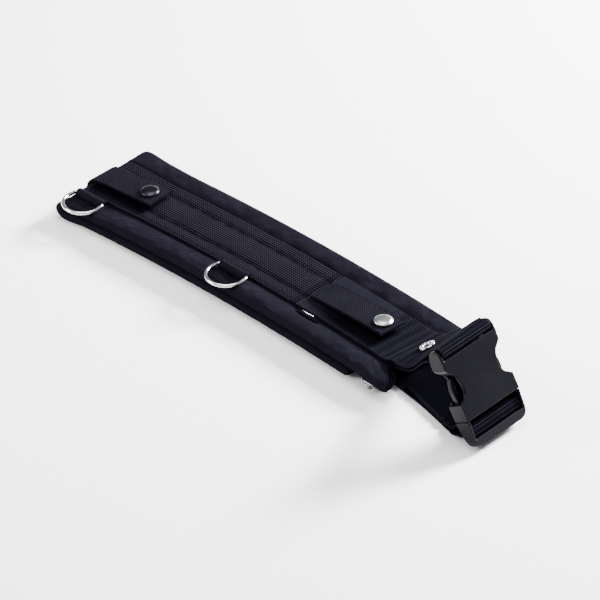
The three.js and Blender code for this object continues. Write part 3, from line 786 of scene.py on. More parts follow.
class Workshop:
    """What every sub-assembly needs: finishes and the node trees."""

    def __init__(self) -> None:
        """Build the shared finishes and trees."""
        self.finishes = Finishes()
        self.stitches = stitch_tree()
        self.ribs = rib_tree()
        self.wire = wire_tree()

    def seat(self, piece: bpy.types.Object, body: str, slot: str, *nodes: str) -> bpy.types.Object:
        """Let a piece ride on a body and hide the CAD nodes it replaces.

        Args:
            piece: the piece.
            body: the body it rides on.
            slot: not used.
            nodes: the CAD nodes it stands for.

        Returns:
            The same piece.
        """
        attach(piece, body)
        if nodes:
            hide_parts(*nodes)
        log.info("%s: %d faces", piece.name, len(piece.data.polygons))
        return piece

    def sew(self, name: str, lines: Sequence[Sequence[tuple[Vector, Vector]]], slot: str,
            pitch: float, length: float, thick: float) -> bpy.types.Object:
        """Set rows of stitches.

        Args:
            name: the piece's name.
            lines: for each row its points with the direction out of the cloth.
            slot: the record's slot of the cloth they are on.
            pitch: distance from stitch to stitch in millimetres.
            length: length of a stitch in millimetres.
            thick: thickness of the thread in millimetres.

        Returns:
            The rows as one object.
        """
        points: list[tuple[float, float, float]] = []
        ups: list[float] = []
        edges: list[tuple[int, int]] = []
        for line in lines:
            for i, (point, up) in enumerate(line):
                if i:
                    edges.append((len(points) - 1, len(points)))
                points.append(tuple(point))
                ups.extend(up)
        mesh = bpy.data.meshes.new(name)
        mesh.from_pydata(points, edges, [])
        mesh.attributes.new("up", "FLOAT_VECTOR", "POINT").data.foreach_set("vector", ups)
        rows = self.stitches.apply(add_object(name, mesh), {
            "Pitch": pitch * MM, "Length": length * MM, "Thick": thick * MM, "Material": self.finishes.thread,
        })
        return self.seat(rows, "root", slot)


@dataclass
class Station:
    """One cross line of a band, in straight millimetres."""

    p: Vector
    across: Vector
    half: float
    swell: float = 0.0
    # Painted shade: how much darker this stretch of band is painted where it lies in shadow.
    shade: float = 0.0


def resample(stations: list[Station], step: float, soft: float) -> list[Station]:
    """Spread stations evenly along their line and round its corners.

    Args:
        stations: the given stations.
        step: distance between the new ones.
        soft: length over which corners are rounded.

    Returns:
        The new stations.
    """
    lengths = [0.0]
    for a, b in zip(stations, stations[1:]):
        lengths.append(lengths[-1] + (b.p - a.p).length)
    count = max(2, round(lengths[-1] / step))
    even: list[Station] = []
    k = 0
    for i in range(count + 1):
        at = lengths[-1] * i / count
        while k < len(lengths) - 2 and lengths[k + 1] < at:
            k += 1
        f = (at - lengths[k]) / max(1e-9, lengths[k + 1] - lengths[k])
        a, b = stations[k], stations[k + 1]
        even.append(Station(a.p.lerp(b.p, f), a.across.lerp(b.across, f).normalized(),
                            lerp(a.half, b.half, f), lerp(a.swell, b.swell, f), lerp(a.shade, b.shade, f)))
    reach = max(1, round(soft / step))
    out: list[Station] = []
    for i, q in enumerate(even):
        r = min(reach, i, len(even) - 1 - i)
        near = even[i - r:i + r + 1]
        weights = [math.exp(-((j - r) / (0.5 * r + 0.3)) ** 2) for j in range(2 * r + 1)]
        total = sum(weights)
        p = sum((n.p * w for n, w in zip(near, weights)), Vector((0, 0, 0))) / total
        across = sum((n.across * w for n, w in zip(near, weights)), Vector((0, 0, 0))).normalized()
        out.append(Station(p, across, q.half, q.swell, q.shade))
    return out


# For each flap: its first and last s, the shade's run-in along it, and the t where it is pale and where deep.
FLAP_SHADES = ((-2.0, 64.0, 6.0, (21.0, 28.5)), (236.0, 312.5, 34.0, (23.5, 31.0)))


def flap_shadow(s: float, t: float) -> float:
    """Return how dark the webbing lies beside the two flaps' near edges and tips, 0 to 1.

    Args:
        s: length along the belt.
        t: distance from the near edge.

    Returns:
        The darkness.
    """
    dark = 0.0
    for first, last, ramp, (pale, deep) in FLAP_SHADES:
        near = smooth(pale, deep, t) * smooth(first - ramp / 3, first + ramp, s)
        tip = math.exp(-(max(0.0, s - last + 2) / 3.0) ** 2) * smooth(last - 6, last - 2, s)
        dark = max(dark, near * (1 - smooth(last - 2, last + 3, s)), tip * smooth(30, 34, t))
    return 0.86 * dark * (1 - smooth(54, 58, t))


@dataclass
class Band:
    """A woven band of even thickness along stations, with rounded selvages."""

    stations: list[Station]
    thick: float
    out: Vector
    columns: int = 16
    step: float = 0.65
    soft: float = 2.4
    ripple: float = 0.0
    rib: float = 3.0
    shadow: Callable[[float, float], float] = lambda s, t: 0.0
    tops: list[list[Vector]] = field(default_factory=list)
    normals: list[Vector] = field(default_factory=list)

    def draft(self) -> Draft:
        """Return the band's mesh, its top lines kept for stitching.

        Returns:
            The mesh under construction, with its run and swell numbers.
        """
        stations = resample(self.stations, self.step, self.soft)
        draft = Draft()
        rows: list[list[Vector]] = []
        maps: list[list[tuple[float, float]]] = []
        run_numbers: list[float] = []
        swell_numbers: list[float] = []
        painted_shades: list[list[float]] = []
        normal = self.out.copy()
        length = 0.0
        for i, q in enumerate(stations):
            before = stations[max(0, i - 1)].p
            after = stations[min(len(stations) - 1, i + 1)].p
            if i:
                length += (q.p - before).length
            run = (after - before).normalized()
            across = (q.across - run * q.across.dot(run)).normalized()
            n = run.cross(across).normalized()
            if n.dot(normal) < 0:
                n = -n
            normal = n
            self.normals.append(n)
            end = min(1.0, 0.72 + 0.28 * smooth(0, 1.6, min(i, len(stations) - 1 - i) * self.step))
            outline = self.outline(q.half, end)
            row = []
            for a, b in outline:
                wave = self.ripple * drift(a * 0.09, length * 0.05, 3.1)
                row.append(LINES.row(*(q.p + across * a + n * (b + wave))))
            rows.append(row)
            maps.append([(length, a) for a, _ in outline] + [(length, outline[0][0] - 0.4)])
            run_numbers.extend([length * MM] * len(outline))
            flat = [smooth(0, 1.5, q.half - abs(a)) for a, _ in outline]
            swell_numbers.extend(q.swell * MM * f for f in flat)
            # Painted shade: rib troughs are painted darker by the band's swell, the station's shade darkens
            # stretches that lie in shadow, and the flap shadow is painted on the top.
            low = 0.5 - 0.5 * math.sin(length / self.rib * 2 * math.pi)
            shade = min(1.0, q.shade + low * min(1.0, q.swell * 9))
            half = len(outline) // 2
            painted_shades.append([max(shade * max(0.3, f), self.shadow(q.p.x, q.p.y + a) if k >= half else 0.0)
                            for k, (f, (a, _)) in enumerate(zip(flat, outline))])
            self.tops.append(row[len(row) // 2:][::-1])
        draft.add_tube(rows, maps, painted_shades, True)
        draft.numbers = {"run": run_numbers, "swell": swell_numbers}
        return draft

    def outline(self, half: float, share: float) -> list[tuple[float, float]]:
        """Return the section: across and up, under side first, then back over the top.

        Args:
            half: half the width.
            share: share of the full thickness.

        Returns:
            Points across and up, once round.
        """
        h = self.thick / 2 * share
        edge = [(0.0, 0.38), (0.12, 0.68), (0.38, 0.9), (0.85, 1.0)]
        inner = [half * (2 * k / self.columns - 1) for k in range(1, self.columns)]
        inner = [a for a in inner if abs(a) < half - 1.2]
        low = [(-half + d, -h * f) for d, f in edge]
        low += [(a, -h) for a in inner]
        low += [(half - d, -h * f) for d, f in reversed(edge)]
        return low + [(a, -b) for a, b in reversed(low)]

    def line(self, share: float, lift: float = 0.15, first: float = 0.0,
             last: float = 1.0) -> list[tuple[Vector, Vector]]:
        """Return a line along the band's top for stitching.

        Args:
            share: where across the band, 0 to 1.
            lift: height of the thread's middle over the cloth in millimetres.
            first: where along the band it starts, 0 to 1.
            last: where it ends.

        Returns:
            Points with the direction out of the cloth.
        """
        count = len(self.tops)
        picked = range(round(first * (count - 1)), round(last * (count - 1)) + 1, 3)
        out = []
        for i in picked:
            row = self.tops[i]
            n = self.normals[i]
            k = share * (len(row) - 1)
            j = min(len(row) - 2, int(k))
            p = row[j].lerp(row[j + 1], k - j)
            out.append((p + n * lift * MM, n))
        return out

    def cross(self, at: float, first: float = 0.08, last: float = 0.92,
              lift: float = 0.15) -> list[tuple[Vector, Vector]]:
        """Return a line across the band's top for stitching.

        Args:
            at: where along the band, 0 to 1.
            first: where across it starts, 0 to 1.
            last: where it ends.
            lift: height of the thread's middle over the cloth.

        Returns:
            Points with the direction out of the cloth.
        """
        i = round(at * (len(self.tops) - 1))
        row = self.tops[i]
        n = self.normals[i]
        out = []
        for k in range(13):
            f = lerp(first, last, k / 12) * (len(row) - 1)
            j = min(len(row) - 2, int(f))
            out.append((row[j].lerp(row[j + 1], f - j) + n * lift * MM, n))
        return out


# The padded layer's section, as rows of t and height over its middle surface: outer side, then inner side.
CREST: Rows = [
    (0, 0), (0.8, 2.2), (2.6, 3.7), (5.6, 4.45), (9.5, 4.6), (13.5, 3.9), (17, 2.75), (19.4, 2.2),
    (20.9, 2.15), (24, 2.1), (30, 2.0), (34, 1.5), (38, 2.1), (46.8, 2.45), (56, 2.1), (60, 1.5),
    (64, 2.0), (70, 2.1), (73.4, 2.1), (75.2, 2.6), (78, 3.7), (82, 4.35), (86.5, 4.4), (90.2, 3.6),
    (92.6, 2.1), (93.5, 0),
]
INNER: Rows = [
    (92.9, -1.3), (92.3, -2.6), (91.4, -3.5), (90.4, -4.0), (88.6, -4.4), (86, -4.5), (78, -4.5),
    (68, -4.5), (56, -4.5), (44, -4.5), (32, -4.5), (20, -4.5), (12, -4.5), (6.8, -4.5), (4.6, -4.3),
    (3, -3.9), (1.8, -3.3), (0.9, -2.4), (0.3, -1.3),
]


def nose(s: float, t: float) -> float:
    """Return how far the near roll's stuffing swells at its free end, 0 to 1."""
    return smooth(337, 344, s) * (1 - smooth(15, 24, t))


def ear(t: float) -> float:
    """Return how far a corner of the fold stands out like a pillow's, 0 to 1."""
    return 0.4 * smooth(84, 92, t) + 1 - smooth(2, 9, t)


def quilt(s: float, side: int) -> float:
    """Return how strongly the sewn channels show at s: only along the shown length."""
    return smooth(6, 24, s) * (1 - smooth(300, 326, s)) if side > 0 else 0.0


def crest_at(t: float, s: float, side: int) -> float:
    """Return the padded layer's outer height over its middle surface.

    Args:
        t: distance from the near edge.
        s: length along the belt.
        side: 1 on the upper layer, 0 in the fold, -1 on the lower layer.

    Returns:
        The height.
    """
    shown = max(0.0, rounded_look_up(CREST, t))
    plain = PAD_HALF if 20.9 < t < 73.4 else shown
    return lerp(plain, shown, quilt(s, side))


@dataclass(frozen=True)
class PathPoint:
    """A station on the folded strip: its place, its outward direction and which layer it is on."""

    s: float
    z: float
    ns: float
    nz: float
    side: int
    run: float


def folded_path(low_end: float, top_end: float, step: float) -> list[PathPoint]:
    """Return stations along the folded strip's middle surface.

    Args:
        low_end: s where it starts on the lower layer.
        top_end: s where it ends on the upper layer.
        step: distance between stations in millimetres.

    Returns:
        The stations, from the lower layer round the fold to the upper one.
    """
    path: list[PathPoint] = []
    run = 0.0
    count = round((low_end - LINES.fold_s) / step)
    for i in range(count + 1):
        s = lerp(low_end, LINES.fold_s, i / count)
        path.append(PathPoint(s, LINES.fold_z - LINES.fold_r, 0, -1, -1, low_end - s))
    run = low_end - LINES.fold_s
    arc = 14
    for i in range(1, arc):
        a = -math.pi / 2 - math.pi * i / arc
        ns, nz = math.cos(a), math.sin(a)
        at = run + math.pi * (LINES.fold_r + 3) * i / arc
        path.append(PathPoint(LINES.fold_s + ns * LINES.fold_r, LINES.fold_z + nz * LINES.fold_r, ns, nz, 0, at))
    run += math.pi * (LINES.fold_r + 3)
    count = round((top_end - LINES.fold_s) / step)
    for i in range(count + 1):
        s = lerp(LINES.fold_s, top_end, i / count)
        path.append(PathPoint(s, LINES.fold_z + LINES.fold_r, 0, 1, 1, run + s - LINES.fold_s))
    return path


@dataclass
class PaddedBelt:
    """The padded strip, folded in two, with a roll along each edge."""

    width: float = 93.5
    top_end: float = 343.0
    low_end: float = 306.5
    step: float = 1.6
    nose_long: float = 3.0
    nose_down: float = 0.75
    nose_tuck: float = 2.5
    ear_out: float = 1.8
    draw_back: float = 13.0
    slit_deep: float = 2.2
    cap: float = 0.8

    def across(self) -> list[float]:
        """Return where the ring's outer points lie, closer together at the edges and at the near seam.

        Returns:
            Distances from the near edge.
        """
        count = 60
        out = [self.width * (0.5 - 0.5 * math.cos(math.pi * k / count)) for k in range(count + 1)]
        fine = [lerp(11.6, 22.4, k / 20) for k in range(21)]
        return [t for t in out if t < 11] + fine + [t for t in out if t > 23]

    def pull(self, s: float, t: float, side: int) -> float:
        """Return how far the strip's free end is drawn back between its two rolls, in millimetres.

        Args:
            s: length along the belt.
            t: distance from the near edge.
            side: which layer.

        Returns:
            The distance.
        """
        if side <= 0:
            return 0.0
        return self.draw_back * smooth(305, self.top_end, s) * smooth(3, 21, t) * (1 - smooth(66, 88, t))

    def wrinkle(self, q: PathPoint, t: float, outer: bool) -> float:
        """Return how far the cloth stands off its plain shape, in millimetres.

        Args:
            q: the station.
            t: distance from the near edge.
            outer: whether it is on the outer side.

        Returns:
            The distance.
        """
        if not outer:
            edge = 1 - smooth(2, 9, min(t, self.width - t))
            return 0.22 * drift(q.run / 9, t / 5, 5.0) * edge
        near = smooth(0.5, 5, t) * (1 - smooth(19, 21, t))
        far = smooth(74, 77, t) * (1 - smooth(89, 93, t))
        soft = 0.4 * drift(q.run / 34, t / 9, 1.7) + 0.16 * drift(q.run / 11, t / 6, 9.1)
        seam = max(math.exp(-((t - 20) / 3.2) ** 2), math.exp(-((t - 75) / 3.2) ** 2))
        pucker = 0.24 * drift(q.run / 4.2, t / 7, 4.4) * seam
        dimple = 0.5 * math.sin(q.s / 29 * 2 * math.pi) * quilt(q.s, q.side) * far * smooth(120, 180, q.s)
        return (soft + pucker) * (near + far) + dimple

    def groove_shade(self, q: PathPoint, t: float) -> float:
        """Return the painted shade in the sewn-down grooves beside the webbing, 0 to 1.

        Args:
            q: the station.
            t: distance from the near edge.

        Returns:
            The darkness.
        """
        uneven = 0.75 + 0.5 * drift(q.run / 8, t / 6, 7.7)
        far = 0.85 * math.exp(-((t - 74.2) / 1.3) ** 2) * uneven * quilt(q.s, q.side)
        return min(1.0, math.exp(-((t - 20.8) / 0.5) ** 2) + far)

    def slit(self, s: float, t: float) -> float:
        """Return the depth, 0 to 1, of the slit in the near seam."""
        along = smooth(234.5, 238.5, s) * (1 - smooth(256, 260, s))
        return along * math.exp(-((t - self.slit_line(s)) / 1.35) ** 4)

    def slit_line(self, s: float) -> float:
        """Return where across the belt the slit lies: it bows a little to the near side."""
        return 17.4 - 1.3 * math.sin(math.pi * min(1.0, max(0.0, (s - 235) / 25)))

    def fold_fill(self, q: PathPoint, t: float, n: float) -> float:
        """Return how much fuller the fold's two ends are than the plain strip, in millimetres.

        Args:
            q: the station.
            t: distance from the near edge.
            n: the plain strip's height there.

        Returns:
            The added height.
        """
        near = 1.0 if q.side == 0 else 1 - smooth(9, 30, q.s)
        edge = max(0.0, min(t, self.width - t))
        blunt = 4.3 * (1 - (1 - min(1.0, edge / 6.0)) ** 4) ** 0.25
        beside = smooth(72.8, 74.2, t) + 1 - smooth(19.8, 21.2, t)
        return near * max(0.0, blunt * beside - n)

    def section(self, q: PathPoint) -> tuple[list[Vector], list[float], list[tuple[float, float]]]:
        """Return one ring round a layer with its painted shade and weave map.

        Args:
            q: the station.

        Returns:
            The ring's points, its creases and its weave map.
        """
        end = (self.low_end if q.side < 0 else self.top_end) - q.s
        low_rows = [(0, 0.62), (1.2, 0.86), (3.2, 0.97), (5, 0.93), (6.6, 1)]
        top_rows = [(0, 0.8), (1, 0.95), (3, 1.04), (5, 1.0), (6.6, 1)]
        share = 1.0 if q.side == 0 else look_up(low_rows if q.side < 0 else top_rows, max(0.0, end))
        inset = max(0.0, 1 - share) * 3
        outer = self.across()
        last_k = len(outer) - 1
        outline = [(t, crest_at(t, q.s, q.side) if 0 < k < last_k else 0.0, True) for k, t in enumerate(outer)]
        outline += [(t, n, False) for t, n in INNER]
        ring, painted_shade, uv = [], [], []
        along = 0.0
        last = None
        for t, n, is_outer in outline:
            move = self.wrinkle(q, t, is_outer)
            cut = self.slit(q.s, t) if is_outer and q.side > 0 else 0.0
            groove_shade = self.groove_shade(q, t) if is_outer and q.side > 0 else 0.0
            if is_outer:
                n += self.fold_fill(q, t, n)
            swell = nose(q.s, t) if q.side > 0 else 0.0
            full = share * (1 + self.nose_down * swell) if n < 0 else share
            lip = smooth(234, 240, q.s) * (1 - smooth(255, 261, q.s)) if is_outer and q.side > 0 else 0.0
            raised = 0.9 * lip * math.exp(-((t - 19.3) / 1.2) ** 2)
            height = n * full + move * share - self.slit_deep * cut + raised
            groove_shade *= 1 - lip
            wide = lerp(t, self.width / 2, inset * 2 / self.width)
            wide += self.nose_tuck * swell * (1 - smooth(2, 16, t))
            wide -= 0.8 * (1 - smooth(0, 8, t)) * (1 - smooth(12, 30, q.s))
            corner = q.ns * self.ear_out * ear(t) if q.side == 0 else 0.0
            pull = self.pull(q.s, t, q.side) * (1.0 if is_outer else 0.25)
            along_s = q.s + q.ns * height + corner + self.nose_long * swell - pull
            p = LINES.place(along_s, wide, q.z + q.nz * height)
            here = Vector((t, n))
            along += 0.0 if last is None else (here - last).length
            last = here
            ring.append(p)
            # Painted shade: the slit and the seam grooves are painted dark.
            painted_shade.append(min(1.0, cut + groove_shade))
            uv.append((q.run - pull, along))
        uv.append((q.run, along + 1.3))
        return ring, painted_shade, uv

    def build(self, shop: Workshop) -> None:
        """Make the padded strip.

        Args:
            shop: the finishes and trees.
        """
        path = folded_path(self.low_end, self.top_end, self.step)
        sections = [self.section(q) for q in path]
        draft = Draft()
        rows = [ring for ring, _, _ in sections]
        self.settle(rows, path)
        first = draft.add_tube(rows, [uv for _, _, uv in sections], [c for _, c, _ in sections])
        n = len(rows[0])
        for i, uv in ((0, sections[0][2]), (len(rows) - 1, sections[-1][2])):
            self.end_cap(draft, [first + i * n + k for k in range(n)], uv, i > 0)
        piece = draft.build("pad_cover", shop.finishes.pad)
        shop.seat(piece, "root", "pad_fabric", "padded_belt")

    def free(self, q: PathPoint, t: float, outer: bool) -> float:
        """Return how free the cloth is to move at a point of a ring, 0 where it is sewn down, to 1.

        Args:
            q: the station.
            t: distance from the near edge.
            outer: whether it is on the outer side.

        Returns:
            The share.
        """
        if not outer:
            return 0.0
        rolls = smooth(2, 5, t) * (1 - smooth(15.5, 18.5, t)) + smooth(76.5, 79.5, t) * (1 - smooth(88.5, 91.5, t))
        end = (self.low_end if q.side < 0 else self.top_end) - q.s
        ends = 0.35 if q.side == 0 else smooth(3, 14, end) * (0.35 + 0.65 * smooth(10, 30, q.s))
        sewn = smooth(228, 234, q.s) * (1 - smooth(261, 267, q.s)) if q.side > 0 and t < 40 else 0.0
        return rolls * ends * (1 - 0.8 * sewn)

    def settle(self, rows: list[list[Vector]], path: list[PathPoint]) -> None:
        """Let the cloth of the rolls buckle between its seams, by a short simulation of a coarser copy.

        Args:
            rows: the strip's rings, which are moved.
            path: the station of each ring.
        """
        across = self.across()
        free = [[self.free(q, t, True) for t in across] + [0.0] * len(INNER) for q in path]
        count = len(rows[0])
        picked = list(range(0, len(rows), 2))
        places = [rows[i][j] for i in picked for j in range(count)]
        faces = []
        for a in range(len(picked) - 1):
            low, high = a * count, (a + 1) * count
            faces += [(low + j, high + j, high + (j + 1) % count, low + (j + 1) % count) for j in range(count)]
        faces += [tuple(range(count))[::-1], tuple((len(picked) - 1) * count + j for j in range(count))]
        mesh = bpy.data.meshes.new("settling")
        mesh.from_pydata([tuple(p) for p in places], [], faces)
        orient(mesh)
        copy = add_object("settling", mesh)
        held = copy.vertex_groups.new(name="held")
        for a, i in enumerate(picked):
            for j in range(count):
                held.add([a * count + j], 1 - free[i][j], "REPLACE")
        cloth = copy.modifiers.new("cloth", "CLOTH")
        cloth.settings.quality = 4
        cloth.settings.mass = 0.02
        cloth.settings.vertex_group_mass = "held"
        cloth.settings.pin_stiffness = 0.4
        cloth.settings.use_pressure = True
        cloth.settings.uniform_pressure_force = 4.0
        cloth.settings.shrink_min = -0.012
        cloth.settings.bending_stiffness = 1.5
        cloth.settings.effector_weights.gravity = 0.0
        cloth.collision_settings.use_collision = False
        scene = bpy.context.scene
        for number in range(1, 21):
            scene.frame_set(number)
        shape = copy.evaluated_get(bpy.context.evaluated_depsgraph_get()).data
        moves = [v.co - p for v, p in zip(shape.vertices, places)]
        longest = max(m.length for m in moves)
        bpy.data.objects.remove(copy)
        scene.frame_set(1)
        log.info("cloth moved up to %.2f mm before its cap", longest / MM)
        cap = self.cap * MM
        for i, row in enumerate(rows):
            a = min(i // 2, len(picked) - 2)
            share = min(1.0, i / 2 - a)
            for j in range(count):
                move = moves[a * count + j].lerp(moves[(a + 1) * count + j], share)
                if move.length > cap:
                    move *= cap / move.length
                row[j] += move * free[i][j]

    def end_cap(self, draft: Draft, ring: list[int], uv: list[tuple[float, float]], turned: bool) -> None:
        """Close one end with a softly bulging face between the outer and the inner side.

        Args:
            draft: the mesh under construction.
            ring: numbers of the end ring's points.
            uv: the ring's weave map.
            turned: whether the face looks towards higher s.
        """
        count = len(self.across())
        outer = ring[:count]
        inner = ring[count - 1:] + ring[:1]
        inner.reverse()
        middle: list[int] = []
        for k, a in enumerate(outer):
            f = k / (len(outer) - 1) * (len(inner) - 1)
            j = min(len(inner) - 2, int(f))
            b = draft.points[inner[j]].lerp(draft.points[inner[j + 1]], f - j)
            p = (draft.points[a] + b) / 2
            out = 1.4 * MM * min(1.0, (draft.points[a] - b).length / (5 * MM))
            middle.append(len(draft.points))
            draft.points.append(p + Vector((out, 0, 0)))
            # The end face's middle is painted a little darker: painted shade on the face turned from the light.
            draft.painted_shade.append(0.35)
        for k in range(len(outer) - 1):
            quad = [outer[k], outer[k + 1], middle[k + 1], middle[k]]
            draft.faces.append(tuple(quad if turned else quad[::-1]))
            draft.maps.append([uv[k]] * 4)
        j = 0
        for k in range(len(middle) - 1):
            want = min(len(inner) - 1, round((k + 1) / (len(middle) - 1) * (len(inner) - 1)))
            face = [middle[k], middle[k + 1], inner[want]]
            if want != j:
                face.append(inner[j])
            draft.faces.append(tuple(face if turned else face[::-1]))
            draft.maps.append([uv[k]] * len(face))
            j = want


@dataclass
class GripWebbing:
    """The coarse wide webbing over the pad, from under the lower layer round the fold."""

    near: float = 21.8
    far: float = 72.8
    end: float = 231.5
    start: float = 96.0
    gap: float = PLY_GAP
    thick: float = WEB_THICK
    columns: int = 56
    valleys: tuple[float, float] = (34.2, 59.8)
    # Where the painted shade lines of the hem lie along the belt.
    hem: tuple[float, float] = (226.4, 229.6)
    sewn_rows: tuple[float, float] = (226.6, 229.4)

    def valley(self, q: PathPoint, t: float) -> float:
        """Return how deep in one of the two quilted valleys a point lies, about 0 to 1.

        Args:
            q: the station.
            t: distance from the near edge.

        Returns:
            The depth.
        """
        deep = 0.0
        for centre in self.valleys:
            wander = centre + 0.9 * drift(q.run / 17, centre, 3.3)
            uneven = 0.8 + 0.7 * drift(q.run / 6.5, centre, t / 5)
            deep += uneven * math.exp(-((t - wander) / 2.7) ** 2)
        return max(0.0, deep) * quilt(q.s, q.side)

    def build(self, shop: Workshop) -> None:
        """Make the webbing with painted shade lines at its hem, and its sewn rows.

        Args:
            shop: the finishes and trees.
        """
        path = folded_path(self.start, self.end, 1.0)
        draft = Draft()
        rows, maps, painted_shades, tops = [], [], [], []
        for i, q in enumerate(path):
            low, top = [], []
            end = min(i, len(path) - 1 - i)
            share = 0.75 + 0.25 * smooth(0, 1.6, end)
            for k in range(self.columns + 1):
                t = lerp(self.near, self.far, k / self.columns)
                edge = min(t - self.near, self.far - t)
                n = crest_at(t, q.s, q.side) + self.gap
                valley = 0.6 * self.valley(q, t)
                full = 0.25 * math.sin(math.pi * min(1, max(0, (t - 34) / 26))) * quilt(q.s, q.side)
                ripple = 0.14 * drift(q.run / 16, t / 11, 2.0)
                rise = self.thick * (0.45 + 0.55 * smooth(-0.1, 0.8, edge)) * share
                low.append((t, n + (self.thick * 0.25 * (1 - smooth(-0.1, 0.6, edge)))))
                top.append((t, n + rise + ripple + full - valley))
            outline = low + top[::-1]
            rows.append([LINES.place(q.s + q.ns * n, t, q.z + q.nz * n) for t, n in outline])
            maps.append([(q.run, t) for t, _ in outline] + [(q.run, self.near - 0.6)])
            # Painted shade: dark lines across the top at the hem's folds.
            hem = 0.0
            if q.side > 0:
                hem = 0.8 * sum(math.exp(-((q.s - s) / 0.45) ** 2) for s in self.hem)
            beside = q.side > 0 and q.s < 200
            # Painted shade in the quilted valleys and painted shadow beside the flaps darken the top.
            painted_shades.append([0.0] * len(low) + [
                min(1.0, max(hem + 0.62 * self.valley(q, t), flap_shadow(q.s, t) if beside else 0.0))
                for t, _ in top[::-1]])
            tops.append(rows[-1][self.columns + 1:][::-1])
        draft.add_tube(rows, maps, painted_shades, True)
        piece = draft.build("grip_band", shop.finishes.grip)
        shop.seat(piece, "root", "grip_webbing", "grip_webbing")
        up = Vector((0, 0, 1))
        high = [i for i, q in enumerate(path) if q.side > 0 and q.s > 12]
        lift = Vector((0, 0, 0.12 * MM))
        lines = [[(tops[i][c] + lift, up) for i in high[::3]] for c in (3, self.columns - 3)]
        for s in self.sewn_rows:
            i = min(high, key=lambda k: abs(path[k].s - s))
            lines.append([(p + lift, up) for p in tops[i][2:-2:2]])
        shop.sew("grip_stitches", lines, "grip_webbing", *THREAD)


# The rising webbing, then the ply that comes back under it, as rows of x, z, y and tip in degrees.
RISE: Rows = [
    (328, 17.5, 48.5, -1), (333, 19.4, 48.1, -3), (338, 21.8, 47.5, -3), (343, 23.85, 46.7, 2.5),
    (349, 27.1, 45.5, 6.2), (355, 30.9, 43.7, 7.0), (361, 36.2, 41.4, 5.8), (367, 42.7, 38.8, 5.4),
    (373, 49.6, 36.0, 4.8), (379, 56.6, 33.3, 4.4), (384, 62.3, 31.2, 4.2), (388.6, 67.2, 29.5, 3.8),
]
UNDER: Rows = [
    (391.5, 60.6, 29.4, 3.8), (386, 57.4, 30.2, 4.2), (380.5, 53.3, 32.6, 4.4), (375, 47.9, 35.2, 4.7),
    (369, 41.1, 38.0, 5.3), (363, 34.5, 40.7, 5.8), (356.5, 28.8, 43.3, 7.0), (350.2, 24.9, 45.3, 7.0),
    (344, 21.7, 46.6, 5.5), (340, 19.6, 47.3, 3.5),
]


@dataclass
class BuckleWebbing:
    """Plain webbing from the hem over the pad, up to the buckle's bar, round it and back under itself."""

    thick: float = WEB_THICK
    half: float = 25.65
    bar_half: float = 25.2
    bar_v: float = -5.0
    bar_w: float = -4.1
    bar_r: float = 3.0

    def stations(self) -> list[Station]:
        """Return the webbing's stations.

        Returns:
            The stations, from the hem to the end of the under ply.
        """
        flat = LINES.high_mid + PAD_HALF + PLY_GAP + self.thick / 2
        out = []
        for i in range(8):
            s = lerp(232.6, 322, i / 7)
            z = flat + 0.35 * (1 - smooth(300, 326, s))
            swell = lerp(0.03, 0.19, smooth(292, 312, s))
            out.append(Station(Vector((s, BELT_MID + LINES.bow(s), z)), Vector((0, 1, 0)), self.half, swell))
        for x, z, y, tip in RISE:
            a = math.radians(tip)
            swell = lerp(0.19, 0.11, smooth(336, 352, x))
            out.append(Station(Vector((x, y, z)), Vector((0, math.cos(a), math.sin(a))),
                               lerp(self.half, self.bar_half, smooth(330, 380, x)), swell))
        r = self.bar_r + PLY_GAP + self.thick / 2
        u = POSE.axes()[0]
        for i in range(11):
            a = math.radians(lerp(100, -80, i / 10))
            p = POSE.straight(0, self.bar_v - math.sin(a) * r, self.bar_w + math.cos(a) * r)
            out.append(Station(p, u.copy(), self.bar_half, 0.15))
        # The ply that comes back under the webbing is painted darker: painted shadow.
        for x, z, y, tip in UNDER:
            a = math.radians(tip)
            across = Vector((0, math.cos(a), math.sin(a)))
            out.append(Station(Vector((x, y, z)), across, self.bar_half, 0.05, 0.7))
        return out

    def build(self, shop: Workshop) -> None:
        """Make the webbing with its ribs and its sewn rows.

        Args:
            shop: the finishes and trees.
        """
        band = Band(self.stations(), self.thick, Vector((0, 0, 1)), columns=18, step=0.5, soft=2.0, ripple=0.12,
                    rib=2.4, shadow=flap_shadow)
        piece = band.draft().build("buckle_band", shop.finishes.webbing)
        shop.ribs.apply(piece, {"Pitch": band.rib * MM, "Material": shop.finishes.webbing})
        shop.seat(piece, "root", "webbing", "buckle_webbing")
        lines = [band.cross(0.006), band.line(0.06, 0.12, 0.01, 0.3), band.line(0.94, 0.12, 0.01, 0.3)]
        shop.sew("buckle_band_stitches", lines, "webbing", *THREAD)


# The return strap's run along the floor, then its free tail over it, as rows of x, z and y.
FLOOR_RUN: Rows = [
    (417.2, 5.6, 30.9), (411, 3.0, 32.6), (403, 1.7, 34.8), (392, 1.15, 37.6), (378, 1.15, 41.0),
    (362, 1.15, 44.2), (346, 1.15, 46.8), (330, 1.15, 48.2),
]
TAIL_RUN: Rows = [
    (414.2, 14.2, 30.8), (409.5, 8.6, 32.6), (402, 5.0, 35.2), (392, 3.5, 38.0), (378, 3.2, 41.8),
    (364, 3.2, 45.6), (353, 3.2, 48.2),
]


